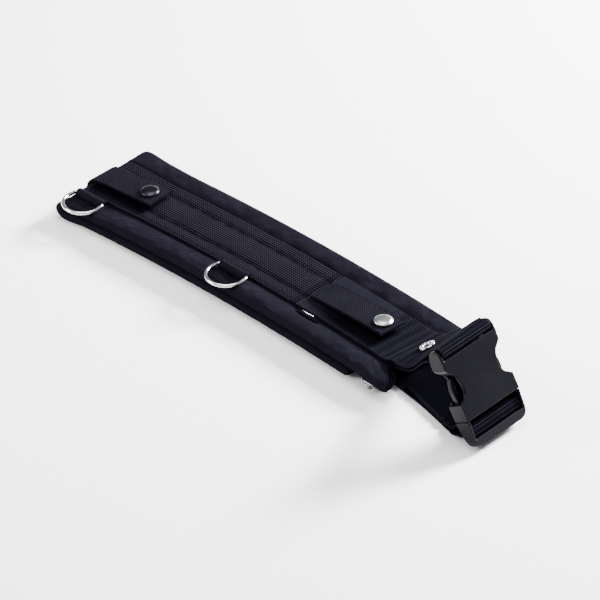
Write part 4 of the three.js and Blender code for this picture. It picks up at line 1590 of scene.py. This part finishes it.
@dataclass
class ReturnStrap:
    """Plain webbing round the buckle's lower bar, its free tail above, its long run under the pad."""

    thick: float = WEB_THICK
    half: float = 25.2
    under_half: float = 25.4
    floor_gap: float = 1.15
    v0: float = 51.9
    v1: float = 59.9
    w0: float = -9.6
    w1: float = -4.9

    def stations(self) -> list[Station]:
        """Return the strap's stations, from its free tail to its sewn end.

        Returns:
            The stations.
        """
        u = POSE.axes()[0]
        level = Vector((0, 1, 0))
        # The tail, the turns into the buckle's slots and the floor run are painted darker: painted shadow where
        # they lie in shade.
        out = [
            Station(Vector((x, y, z)), level.lerp(u, smooth(392, 416, x)), self.half, 0.04, 0.95)
            for x, z, y in reversed(TAIL_RUN)
        ]
        r = self.thick / 2 + 0.4
        turns = [
            (self.v0 - r, self.w0 - 0.6), (self.v0 - r, self.w1 - 0.4), (self.v0 - r * 0.45, self.w1 + r * 0.75),
            (self.v0 + 1, self.w1 + r), (self.v1 - 1, self.w1 + r), (self.v1 + r * 0.45, self.w1 + r * 0.75),
            (self.v1 + r, self.w1 - 0.4), (self.v1 + r, self.w0 - 0.2),
        ]
        # Painted shade at each turn, darkest where the strap dives into the slots.
        shades = (1.0, 1.0, 0.8, 0.1, 0.1, 0.8, 1.0, 1.0)
        out += [Station(POSE.straight(0, v, w), u.copy(), self.half, 0.16, f) for (v, w), f in zip(turns, shades)]
        out += [
            Station(Vector((x, y, z)), level.lerp(u, smooth(392, 416, x)), self.half, 0.04, 0.8)
            for x, z, y in FLOOR_RUN
        ]
        for i in range(7):
            s = lerp(318, 97.2, i / 6)
            out.append(Station(Vector((s, BELT_MID + LINES.bow(s), self.floor_gap)), level, self.under_half, 0.03))
        return out

    def build(self, shop: Workshop) -> None:
        """Make the strap with its ribs and its sewn rows.

        Args:
            shop: the finishes and trees.
        """
        band = Band(self.stations(), self.thick, Vector((0, 0, 1)), columns=16, step=0.75, soft=1.7)
        piece = band.draft().build("return_band", shop.finishes.webbing)
        shop.ribs.apply(piece, {"Pitch": band.rib * MM, "Material": shop.finishes.webbing})
        shop.seat(piece, "root", "webbing", "return_strap")
        lines = [band.cross(0.012), band.cross(0.022), band.cross(0.985), band.cross(0.975)]
        lines += [band.line(0.05, 0.1, 0.5, 0.98), band.line(0.95, 0.1, 0.5, 0.98)]
        shop.sew("return_band_stitches", lines, "webbing", *SLIM_THREAD)


@dataclass
class SnapFlap:
    """A doubled flap of narrow webbing, sewn along its border."""

    name: str
    node: str
    points: list[tuple[float, float]]
    tip: float
    near: float = 34.0
    far: float = 59.0
    thick: float = FLAP_THICK

    def build(self, shop: Workshop) -> None:
        """Make the flap and its border stitches.

        Args:
            shop: the finishes and trees.
        """
        centre = (self.near + self.far) / 2
        stations = []
        for i, (s, z) in enumerate(self.points):
            f = i / (len(self.points) - 1)
            p = LINES.place(s, centre, z) / MM + Vector(LINES.shift)
            stations.append(Station(p, Vector((0, 1, self.tip * f)).normalized(), (self.far - self.near) / 2, 0.0))
        band = Band(stations, self.thick, Vector((-0.3, 0, 1)), columns=16, step=0.8, soft=3.0, ripple=0.1)
        piece = band.draft().build(self.name, shop.finishes.flap)
        shop.seat(piece, "root", "flap_webbing", self.node)
        lines = [band.line(0.12, 0.1, 0.06, 0.965), band.line(0.88, 0.1, 0.06, 0.965),
                 band.cross(0.965, 0.12, 0.88, 0.1), band.cross(0.05, 0.12, 0.88, 0.1)]
        shop.sew(self.name + "_stitches", lines, "flap_webbing", *SHORT_THREAD)


def lathe(profile: Rows, steps: int, matrix: Matrix, name: str, material: bpy.types.Material) -> bpy.types.Object:
    """Turn a profile round its axis.

    Args:
        profile: rows of radius and height in millimetres, closed on the axis or on itself.
        steps: how many steps round.
        matrix: from the profile's millimetres, axis along Z, to the frame.
        name: the piece's name.
        material: its finish.

    Returns:
        The object.
    """
    work = bmesh.new()
    columns = []
    for k in range(steps):
        a = 2 * math.pi * k / steps
        columns.append([work.verts.new((r * math.cos(a), r * math.sin(a), h)) for r, h in profile])
    for k in range(steps):
        a, b = columns[k], columns[(k + 1) % steps]
        for i in range(len(profile) - 1):
            work.faces.new((a[i], b[i], b[i + 1], a[i + 1]))
    bmesh.ops.remove_doubles(work, verts=work.verts, dist=1e-4)
    bmesh.ops.dissolve_degenerate(work, edges=work.edges, dist=1e-5)
    work.transform(matrix)
    mesh = bpy.data.meshes.new(name)
    work.to_mesh(mesh)
    work.free()
    mesh.materials.append(material)
    mesh.shade_smooth()
    orient(mesh)
    return add_object(name, mesh)


def standing(s: float, t: float, z: float, lean: float) -> Matrix:
    """Return the matrix of a turned piece that stands on the belt, leaning across it."""
    turn = Matrix.Rotation(math.atan(lean), 4, "X")
    return Matrix.Translation(LINES.place(s, t, z)) @ turn @ Matrix.Scale(MM, 4)


@dataclass
class Snap:
    """A press stud: its domed cap on the flap and the plain stud under it."""

    number: int
    s: float
    cap_z: float
    lean: float
    post: tuple[float, float]
    # Whether the cap takes the lighter copy of the snap metal, a painted reflection.
    painted_lit: bool

    def build(self, shop: Workshop) -> None:
        """Make the cap with its rolled rim and the stud.

        Args:
            shop: the finishes and trees.
        """
        profile = [(0, 0), (6.2, 0), (6.9, 0.2), (7.3, 0.6), (7.42, 1.0), (7.3, 1.4), (6.95, 1.72), (6.7, 1.8),
                   (6.55, 1.92), (6.1, 2.3), (5.2, 2.62), (4.0, 2.85), (2.6, 3.0), (1.2, 3.08), (0, 3.1)]
        # Painted light: the lit copy stands for a reflection, the shaded copy for shade.
        finish = shop.finishes.snap_lit if self.painted_lit else shop.finishes.snap_shaded
        place = standing(self.s, FLAP_MID, self.cap_z, self.lean)
        cap = lathe(profile, 48, place, f"snap_dome_{self.number}", finish)
        shop.seat(cap, "root", "snap_metal", f"snap_cap_{self.number}")
        z0, z1 = self.post
        tall = z1 - z0
        stud = [(0, 0), (3.9, 0), (4.2, 0.25), (4.2, tall - 0.25), (3.9, tall), (0, tall)]
        post = lathe(stud, 32, standing(self.s, FLAP_MID, z0, 0), f"snap_stud_{self.number}", finish)
        shop.seat(post, "root", "snap_metal", f"snap_post_{self.number}")


@dataclass(frozen=True)
class RingSize:
    """A D-ring's wire line: its straight bar, its corners and its bow."""

    half_bar: float
    corner: float
    reach: float
    depth: float
    square: float
    ball: tuple[float, float, float] | None = None

    def line(self) -> list[tuple[float, float]]:
        """Return the closed line of the wire's middle, its bar along X at the origin.

        Returns:
            Points in millimetres, once round.
        """
        out = []
        bow = self.half_bar + 0.7
        inner = self.half_bar - self.corner
        for i in range(13):
            out.append((lerp(-inner, inner, i / 12), 0.0))
        for i in range(1, 7):
            a = math.pi / 2 * (1 - i / 6)
            out.append((inner + math.cos(a) * self.corner, -self.corner + math.sin(a) * self.corner))
        for i in range(1, 48):
            a = math.pi * i / 48
            x = math.copysign(abs(math.cos(a)) ** self.square, math.cos(a))
            out.append((x * bow, -(self.reach - self.depth) - math.sin(a) ** self.square * self.depth))
        for i in range(6, 0, -1):
            a = math.pi / 2 * (1 + i / 6)
            out.append((-inner + math.cos(a) * self.corner, -self.corner + math.sin(a) * self.corner))
        return out


LARGE = RingSize(14.6, 2.6, 22.8, 15.3, 1.0)
SMALL = RingSize(7.6, 2.2, 14.0, 6.5, 0.55, (1.0, -14.3, -1.7))


@dataclass
class Ring:
    """A wire ring on its sewn loop of webbing."""

    number: int
    size: RingSize
    s: float
    t: float
    z: float
    slope: float
    loop: float
    tail: tuple[float, float]
    wire: float = 1.45
    outer: float = 3.6
    hole: float = 1.85

    def matrix(self) -> Matrix:
        """Return the matrix from the ring's millimetres to the frame."""
        at = LINES.place(self.s, self.t, self.z)
        return Matrix.Translation(at) @ Matrix.Rotation(-math.atan(self.slope), 4, "X") @ Matrix.Scale(MM, 4)

    def build(self, shop: Workshop) -> None:
        """Make the ring and its loop.

        Args:
            shop: the finishes and trees.
        """
        place = self.matrix()
        line = self.size.line()
        points = [place @ Vector((x, y, 0)) for x, y in line]
        edges = [(i, (i + 1) % len(points)) for i in range(len(points))]
        mesh = bpy.data.meshes.new(f"wire_ring_{self.number}")
        mesh.from_pydata([tuple(p) for p in points], edges, [])
        # The small ring takes the darker copy of the steel: painted shade.
        finish = shop.finishes.steel_painted_shade if self.size.ball else shop.finishes.steel
        ring = shop.wire.apply(add_object(f"wire_ring_{self.number}", mesh),
                               {"Radius": self.wire * MM, "Material": finish})
        if self.size.ball:
            profile = [(2.2 * math.sin(math.pi * k / 14), -2.2 * math.cos(math.pi * k / 14)) for k in range(15)]
            ball = lathe(profile, 24, place @ Matrix.Translation(Vector(self.size.ball)),
                         f"ring_ball_{self.number}", finish)
            shop.seat(ball, f"ring_{self.number}", "bright_steel")
        shop.seat(ring, f"ring_{self.number}", "bright_steel", f"d_ring_{self.number}")
        self.build_loop(shop)

    def build_loop(self, shop: Workshop) -> None:
        """Make the sewn loop of webbing round the ring's bar.

        Args:
            shop: the finishes and trees.
        """
        centre = LINES.place(self.s, self.t, self.z) / MM + Vector(LINES.shift)
        dt, dz = self.tail[0] - self.t, self.tail[1] - self.z
        angle = math.atan2(dz, dt)
        length = math.hypot(dt, dz)
        thick = self.outer - self.hole - 0.02
        r = (self.outer + self.hole) / 2
        half = 1.15 - thick / 2 + 0.01
        path = [(length, -half), (length * 0.8, -half)]
        a0 = math.degrees(math.asin(half / r))
        path += [(r * math.cos(math.radians(a)), r * math.sin(math.radians(a)))
                 for a in [-a0 - k * (360 - 2 * a0) / 16 for k in range(17)]]
        path += [(length * 0.8, half), (length, half)]
        turn = [(math.cos(angle) * x - math.sin(angle) * y, math.sin(angle) * x + math.cos(angle) * y)
                for x, y in path]
        stations = [Station(centre + Vector((0, a, b)), Vector((1, 0, 0)), self.loop / 2) for a, b in turn]
        band = Band(stations, thick, Vector((0, 0, -1)), columns=10, step=0.5, soft=0.9)
        piece = band.draft().build(f"ring_loop_{self.number}", shop.finishes.flap)
        shop.seat(piece, "root", "flap_webbing", f"ring_tab_{self.number}")


def seam_bar(shop: Workshop) -> None:
    """Make the steel bar that shows in the slit of the near seam.

    Args:
        shop: the finishes and trees.
    """
    profile = [(0, -5.9), (0.4, -5.9), (0.52, -5.7), (0.52, 5.7), (0.4, 5.9), (0, 5.9)]
    turn = Matrix.Rotation(-0.026, 4, "Z") @ Matrix.Rotation(math.pi / 2, 4, "Y")
    matrix = Matrix.Translation(LINES.place(247, 19.0, 18.35)) @ turn @ Matrix.Scale(MM, 4)
    piece = lathe(profile, 24, matrix, "slit_bar", shop.finishes.steel)
    shop.seat(piece, "root", "bright_steel", "seam_bar")


def grommet(shop: Workshop) -> None:
    """Make the eyelet through the rising webbing, its flanges rolled.

    Args:
        shop: the finishes and trees.
    """
    low, high = -3.95, 1.4
    profile = [
        (3.0, low - 0.5), (3.2, low - 0.75), (5.8, low - 0.7), (6.3, low - 0.4), (6.3, low),
        (5.9, low + 0.05), (3.5, low + 0.05), (3.5, high), (5.9, high - 0.05), (6.5, high + 0.1),
        (6.7, high + 0.4), (6.5, high + 0.75), (5.9, high + 1.0), (5.0, high + 1.1), (4.1, high + 1.0),
        (3.4, high + 0.7), (3.05, high + 0.2), (3.0, low - 0.5),
    ]
    turn = Matrix.Rotation(-math.radians(29), 4, "Y") @ Matrix.Rotation(math.radians(6.5), 4, "X")
    matrix = Matrix.Translation(LINES.row(346.6, 47.6, 26.0)) @ turn @ Matrix.Scale(MM, 4)
    piece = lathe(profile, 48, matrix, "eyelet", shop.finishes.steel)
    shop.seat(piece, "root", "bright_steel", "grommet")
    # A dark disc inside the eyelet paints the bore's shade; the webbing under it is not cut.
    shade = [(0, high - 0.6), (2.9, high - 0.6), (2.9, high - 0.3), (0, high - 0.3)]
    shop.seat(lathe(shade, 24, matrix, "eyelet_shade_disc", shop.finishes.painted_bore_shade), "root", "webbing")


class Moulding:
    """A moulded piece: overlapping shells in the buckle's millimetres, fused and softened."""

    def __init__(self) -> None:
        """Start empty."""
        self.work = bmesh.new()

    def prism(self, outline: Rows, low: Callable[[float, float], float], high: Callable[[float, float], float],
              order: str = "uvw") -> None:
        """Add a closed shell over an outline.

        Args:
            outline: the outline's points in its own two directions.
            low: height of its under side at a point.
            high: height of its upper side at a point.
            order: which buckle direction each of the three numbers runs along.
        """
        def at(a: float, b: float, c: float) -> tuple[float, float, float]:
            """Return the three numbers in the order u, v, w."""
            found = dict(zip(order, (a, b, c)))
            return found["u"], found["v"], found["w"]

        under = [self.work.verts.new(at(a, b, low(a, b))) for a, b in outline]
        over = [self.work.verts.new(at(a, b, high(a, b))) for a, b in outline]
        faces = [self.work.faces.new(under[::-1]), self.work.faces.new(over)]
        for i in range(len(outline)):
            k = (i + 1) % len(outline)
            faces.append(self.work.faces.new((under[i], under[k], over[k], over[i])))
        bmesh.ops.triangulate(self.work, faces=faces[:2])

    def loft(self, rings: Sequence[Rows]) -> None:
        """Add a closed shell through equal rings of points.

        Args:
            rings: the rings, each with the same number of points.
        """
        made = [[self.work.verts.new(p) for p in ring] for ring in rings]
        for a, b in zip(made, made[1:]):
            for i in range(len(a)):
                k = (i + 1) % len(a)
                self.work.faces.new((a[i], a[k], b[k], b[i]))
        self.work.faces.new(made[0][::-1])
        self.work.faces.new(made[-1])

    def slab(self, u0: float, u1: float, v0: float, v1: float, w0: float, w1: float) -> None:
        """Add a plain block."""
        self.prism([(u0, v0), (u1, v0), (u1, v1), (u0, v1)], lambda a, b: w0, lambda a, b: w1)

    def rod(self, v: float, w: float, r: float, half: float) -> None:
        """Add a round bar across the buckle.

        Args:
            v: how far down the buckle its middle lies.
            w: how far out of its front.
            r: its radius.
            half: half its length.
        """
        turns = [2 * math.pi * k / 24 for k in range(24)]
        outline = [(v + r * math.cos(a), w + r * math.sin(a)) for a in turns]
        self.prism(outline, lambda a, b: -half, lambda a, b: half, "vwu")

    def build(self, name: str, voxel: float, rounds: int, material: bpy.types.Material,
              keep: float = 0.45) -> bpy.types.Object:
        """Fuse the shells, round their edges and stand the piece in the buckle's place.

        Args:
            name: the piece's name.
            voxel: size of the fusing grid in millimetres.
            rounds: how often the surface is softened.
            material: its finish.
            keep: share of the faces kept.

        Returns:
            The object.
        """
        bmesh.ops.recalc_face_normals(self.work, faces=self.work.faces)
        mesh = bpy.data.meshes.new(name)
        self.work.to_mesh(mesh)
        self.work.free()
        piece = add_object(name, mesh)
        fuse = piece.modifiers.new("fuse", "REMESH")
        fuse.mode = "VOXEL"
        fuse.voxel_size = voxel
        soften = piece.modifiers.new("soften", "SMOOTH")
        soften.factor = 0.5
        soften.iterations = rounds
        thin = piece.modifiers.new("thin", "DECIMATE")
        thin.ratio = keep
        graph = bpy.context.evaluated_depsgraph_get()
        made = bpy.data.meshes.new_from_object(piece.evaluated_get(graph), depsgraph=graph)
        piece.modifiers.clear()
        made.transform(POSE.matrix())
        made.materials.clear()
        made.materials.append(material)
        made.shade_smooth()
        orient(made)
        piece.data = made
        return piece


def rounded_outline(points: Rows, rounds: int = 2) -> list[tuple[float, float]]:
    """Return a closed outline with its corners cut and rounded.

    Args:
        points: the outline's corners.
        rounds: how often they are cut.

    Returns:
        The rounded outline.
    """
    out = [tuple(p) for p in points]
    for _ in range(rounds):
        cut = []
        for i, (a, b) in enumerate(out):
            c, d = out[(i + 1) % len(out)]
            cut += [(a * 0.75 + c * 0.25, b * 0.75 + d * 0.25), (a * 0.25 + c * 0.75, b * 0.25 + d * 0.75)]
        out = cut
    return out


@dataclass
class Buckle:
    """The fastened side-release buckle: the open socket half and the plug half inside it."""

    plate: Rows = (
        (0.9, 26.2), (5, 27.6), (8, 26.8), (11, 22.9), (14.5, 20.2), (19, 18.6), (24, 18.1), (28, 18.9),
        (31, 21.4), (33, 24.6), (35.5, 26.5), (39, 27.2), (47.7, 27.4),
    )
    cheek: Rows = (
        (-8.6, -8.8), (-9.0, -5.2), (-7.4, -1.6), (-4.2, 0), (7.4, 0), (7.4, -13.2), (4.0, -14.2), (-3.6, -12.6),
        (-6.8, -10.9),
    )
    wall: Rows = (
        (5.4, 28.3, -13.8), (8.6, 27.2, -11.6), (11.5, 23.9, -7.4), (14, 21.2, -3.6), (20, 19.3, -3.3),
        (24, 18.7, -3.2), (28, 19.3, -3.0), (31, 21.6, -2.7),
    )
    arm: Rows = (
        (20.4, 48.6), (20.6, 40), (21.0, 33), (22.0, 25), (21.6, 19.5), (20.4, 16.4), (21.4, 14.8), (23.4, 15.0),
        (25.0, 18.4), (26.0, 24), (25.6, 30.5), (24.6, 34.5), (24.5, 48.6),
    )
    plug_slabs: Rows = (
        (26, 48.3, 49.1, -14.4, -5.5), (26, 62.3, 64, -14.4, -7.2), (24.5, 44.4, 48.9, -10.6, -4),
        (26.4, 51.9, 57.7, -9.6, -4.9), (3.4, 14, 48.6, -9.2, -5.2),
    )
    back: float = -14.4
    skin: float = 2.2
    voxel: float = 0.42

    def outline(self) -> list[tuple[float, float]]:
        """Return the plates' outline with smooth notches.

        Returns:
            Points across and down the buckle.
        """
        v0, v1 = self.plate[0][0], self.plate[-1][0]
        rows = [(lerp(v0, v1, k / 60)) for k in range(61)]
        right = [(rounded_look_up(self.plate, v), v) for v in rows]
        return right + [(-h, v) for h, v in reversed(right)]

    def notch_wall(self, mould: Moulding, side: int) -> None:
        """Add the side wall that runs on along the notch and gets shallower.

        Args:
            mould: the moulding under construction.
            side: 1 for the far side, -1 for the near side.
        """
        v0, v1 = self.wall[0][0], self.wall[-1][0]
        stations = [lerp(v0, v1, k / 36) for k in range(37)]
        halves = [rounded_look_up([(r[0], r[1]) for r in self.wall], v) for v in stations]
        depths = [rounded_look_up([(r[0], r[2]) for r in self.wall], v) for v in stations]
        walls = [(u * side, (u - self.skin) * side) for u in halves]
        mould.loft([
            [(out, v, w), (out, v, 0.0), (into, v, 0.0), (into, v, w)]
            for v, (out, into), w in zip(stations, walls, depths)
        ])

    def build_socket(self, shop: Workshop) -> None:
        """Make the socket half.

        Args:
            shop: the finishes and trees.
        """
        mould = Moulding()
        outline = self.outline()
        mould.prism(outline, lambda a, b: -self.skin, lambda a, b: 0.0)
        mould.prism(outline, lambda a, b: self.back, lambda a, b: self.back + self.skin)
        for side in (1, -1):
            u0, u1 = sorted((25.2 * side, 27.4 * side))
            mould.slab(u0, u1, 34.5, 47.7, self.back, 0)
            u0, u1 = sorted((26.0 * side, 28.3 * side))
            mould.prism(rounded_outline(self.cheek, 2), lambda a, b, u=u0: u, lambda a, b, u=u1: u, "vwu")
            self.notch_wall(mould, side)
        mould.slab(-25.6, 25.6, 0.0, 6.2, self.back, 0)
        for u in (-9, 9):
            mould.slab(u - 0.8, u + 0.8, 6, 20, -12.6, -2)
        mould.rod(-4.2, -4.2, 2.3, 27)
        piece = mould.build("socket_half", self.voxel, 5, shop.finishes.plastic)
        shop.seat(piece, "root", "buckle_plastic", "buckle_socket")

    def build_plug(self, shop: Workshop) -> None:
        """Make the plug half.

        Args:
            shop: the finishes and trees.
        """
        mould = Moulding()

        def top(_u: float, v: float) -> float:
            """Return the front's height, sloping off down the buckle."""
            return -0.6 - max(0.0, v - 50.5) * math.tan(math.radians(7))

        def low(_u: float, v: float) -> float:
            """Return the back's height, sloping in down the buckle."""
            return -14.6 + max(0.0, v - 50.5) * math.tan(math.radians(11))

        foot = [(-27.3, 62.6), (27.3, 62.6), (27.1, 64.6), (26.2, 66.8), (24.4, 68.5), (21.6, 69.4), (18.6, 69.6),
                (-18.6, 69.6), (-21.6, 69.4), (-24.4, 68.5), (-26.2, 66.8), (-27.1, 64.6)]
        mould.prism(foot, low, top)
        for side in (1, -1):
            u0, u1 = sorted((25.6 * side, 27.3 * side))
            down = [lerp(48.3, 63.5, k / 6) for k in range(7)]
            up = [lerp(63.5, 48.3, k / 6) for k in range(7)]
            mould.prism([(u1, v) for v in down] + [(u0, v) for v in up], low, top)
            arm = [((u - (1.8 if side > 0 else 0)) * side, v) for u, v in self.arm]
            mould.prism(rounded_outline(arm, 1), lambda a, b: -9.0, lambda a, b: -4.8)
        for half, v0, v1, w0, w1 in self.plug_slabs:
            mould.slab(-half, half, v0, v1, w0, w1)
        piece = mould.build("plug_half", self.voxel, 4, shop.finishes.plastic)
        shop.seat(piece, "root", "buckle_plastic", "buckle_plug")

    def build(self, shop: Workshop) -> None:
        """Make both halves."""
        self.build_socket(shop)
        self.build_plug(shop)


@dataclass
class Studio:
    """Pale floor, soft lights and the camera at the photograph's angle."""

    azimuth: float = 44.08
    elevation: float = 35.58
    distance: float = 3.0233
    lens: float = 240.65
    target: tuple[float, float, float] = (212.83, 51.61, 0.0)
    lamps: tuple[tuple[str, tuple[float, float, float], float, float], ...] = (
        ("key_light", (0.3, 1.5, 0.8), 0.5, 260.0),
        ("top_light", (-0.2, 0.1, 1.8), 1.2, 48.0),
        ("left_light", (-1.1, -1.2, 0.8), 0.8, 46.0),
    )
    floor_half: float = 6.0
    floor_z: float = -0.0004

    def build(self) -> None:
        """Make the floor, the lights, the world and the camera."""
        self.build_floor()
        self.build_camera()
        for name, at, size, power in self.lamps:
            self.light(name, at, size, power)
        world = bpy.data.worlds.new("room")
        world.use_nodes = True
        world.node_tree.nodes["Background"].inputs["Color"].default_value = (0.93, 0.95, 1.0, 1)
        world.node_tree.nodes["Background"].inputs["Strength"].default_value = 0.4
        bpy.context.scene.world = world

    def build_floor(self) -> None:
        """Make the floor."""
        size = self.floor_half
        mesh = bpy.data.meshes.new("floor")
        corners = [(-size, -size, 0), (size, -size, 0), (size, size, 0), (-size, size, 0)]
        mesh.from_pydata(corners, [], [(0, 1, 2, 3)])
        draft = ShaderDraft("floor_paint")
        cloud = draft.noise(3.0, 2.0)
        mesh.materials.append(draft.finish({
            "Base Color": draft.blend(cloud, (0.9, 0.9, 0.9), (0.93, 0.93, 0.93)), "Roughness": 0.9}))
        floor = add_object("floor", mesh)
        floor.location.z = self.floor_z

    def light(self, name: str, at: tuple[float, float, float], size: float, power: float) -> None:
        """Add one square soft light that looks at the belt.

        Args:
            name: the lamp's name.
            at: where it hangs, in metres.
            size: its side in metres.
            power: its power in watts.
        """
        data = bpy.data.lights.new(name, "AREA")
        data.shape = "SQUARE"
        data.size = size
        data.energy = power
        lamp = bpy.data.objects.new(name, data)
        bpy.context.scene.collection.objects.link(lamp)
        lamp.location = at
        lamp.rotation_mode = "QUATERNION"
        lamp.rotation_quaternion = (-Vector(at)).to_track_quat("-Z", "Y")

    def build_camera(self) -> None:
        """Set the camera."""
        a, e = math.radians(self.azimuth), math.radians(self.elevation)
        back = Vector((math.sin(a) * math.cos(e), -math.cos(a) * math.cos(e), math.sin(e)))
        data = bpy.data.cameras.new("camera")
        data.lens = self.lens
        data.sensor_width = 36.0
        data.clip_end = 50.0
        camera = bpy.data.objects.new("camera", data)
        bpy.context.scene.collection.objects.link(camera)
        camera.location = LINES.row(*self.target) + back * self.distance
        camera.rotation_mode = "QUATERNION"
        camera.rotation_quaternion = (-back).to_track_quat("-Z", "Y")
        bpy.context.scene.camera = camera


def flap_1_points() -> list[tuple[float, float]]:
    """Return flap 1's line: round the fold, then along the top.

    Returns:
        The line's s and z.
    """
    r = LINES.fold_r + PAD_HALF + PLY_GAP + WEB_THICK + PLY_GAP + PLY_GAP + FLAP_THICK / 2
    out = []
    for i in range(10):
        a = math.radians(lerp(212, 84, i / 9))
        out.append((LINES.fold_s + math.cos(a) * r, LINES.fold_z + math.sin(a) * r))
    return out + [(16, 20.3), (26, 20.6), (38, 21.2), (50, 22.0), (58, 22.35), (64, 22.4)]


def main() -> None:
    """Build every piece in order."""
    logging.basicConfig(level=logging.INFO, format="%(name)s: %(message)s")
    Studio().build()
    shop = Workshop()
    PaddedBelt().build(shop)
    GripWebbing().build(shop)
    BuckleWebbing().build(shop)
    ReturnStrap().build(shop)
    SnapFlap("flap_left", "flap_1", flap_1_points(), 0.03).build(shop)
    SnapFlap("flap_right", "flap_2", [
        (234.5, 19.7), (240, 20.1), (250, 20.7), (262, 21.5), (276, 22.4), (290, 23.1), (302, 23.5), (310.5, 23.5),
    ], -0.03).build(shop)
    Snap(1, 52.8, 23.6, 0.03, (18.6, 20.6), False).build(shop)
    Snap(2, 300.3, 25.0, -0.03, (18.6, 21.9), True).build(shop)
    Ring(1, LARGE, 20, 15.6, 20.4, -0.015, 25, (21.6, 19.6)).build(shop)
    Ring(2, LARGE, 169.5, 16.8, 20.3, 0, 25, (21.9, 18.9)).build(shop)
    Ring(3, SMALL, 327.8, 18.4, 5.4, 0, 11, (25.5, 3.8)).build(shop)
    seam_bar(shop)
    grommet(shop)
    Buckle().build(shop)


if __name__ == "__main__":
    main()
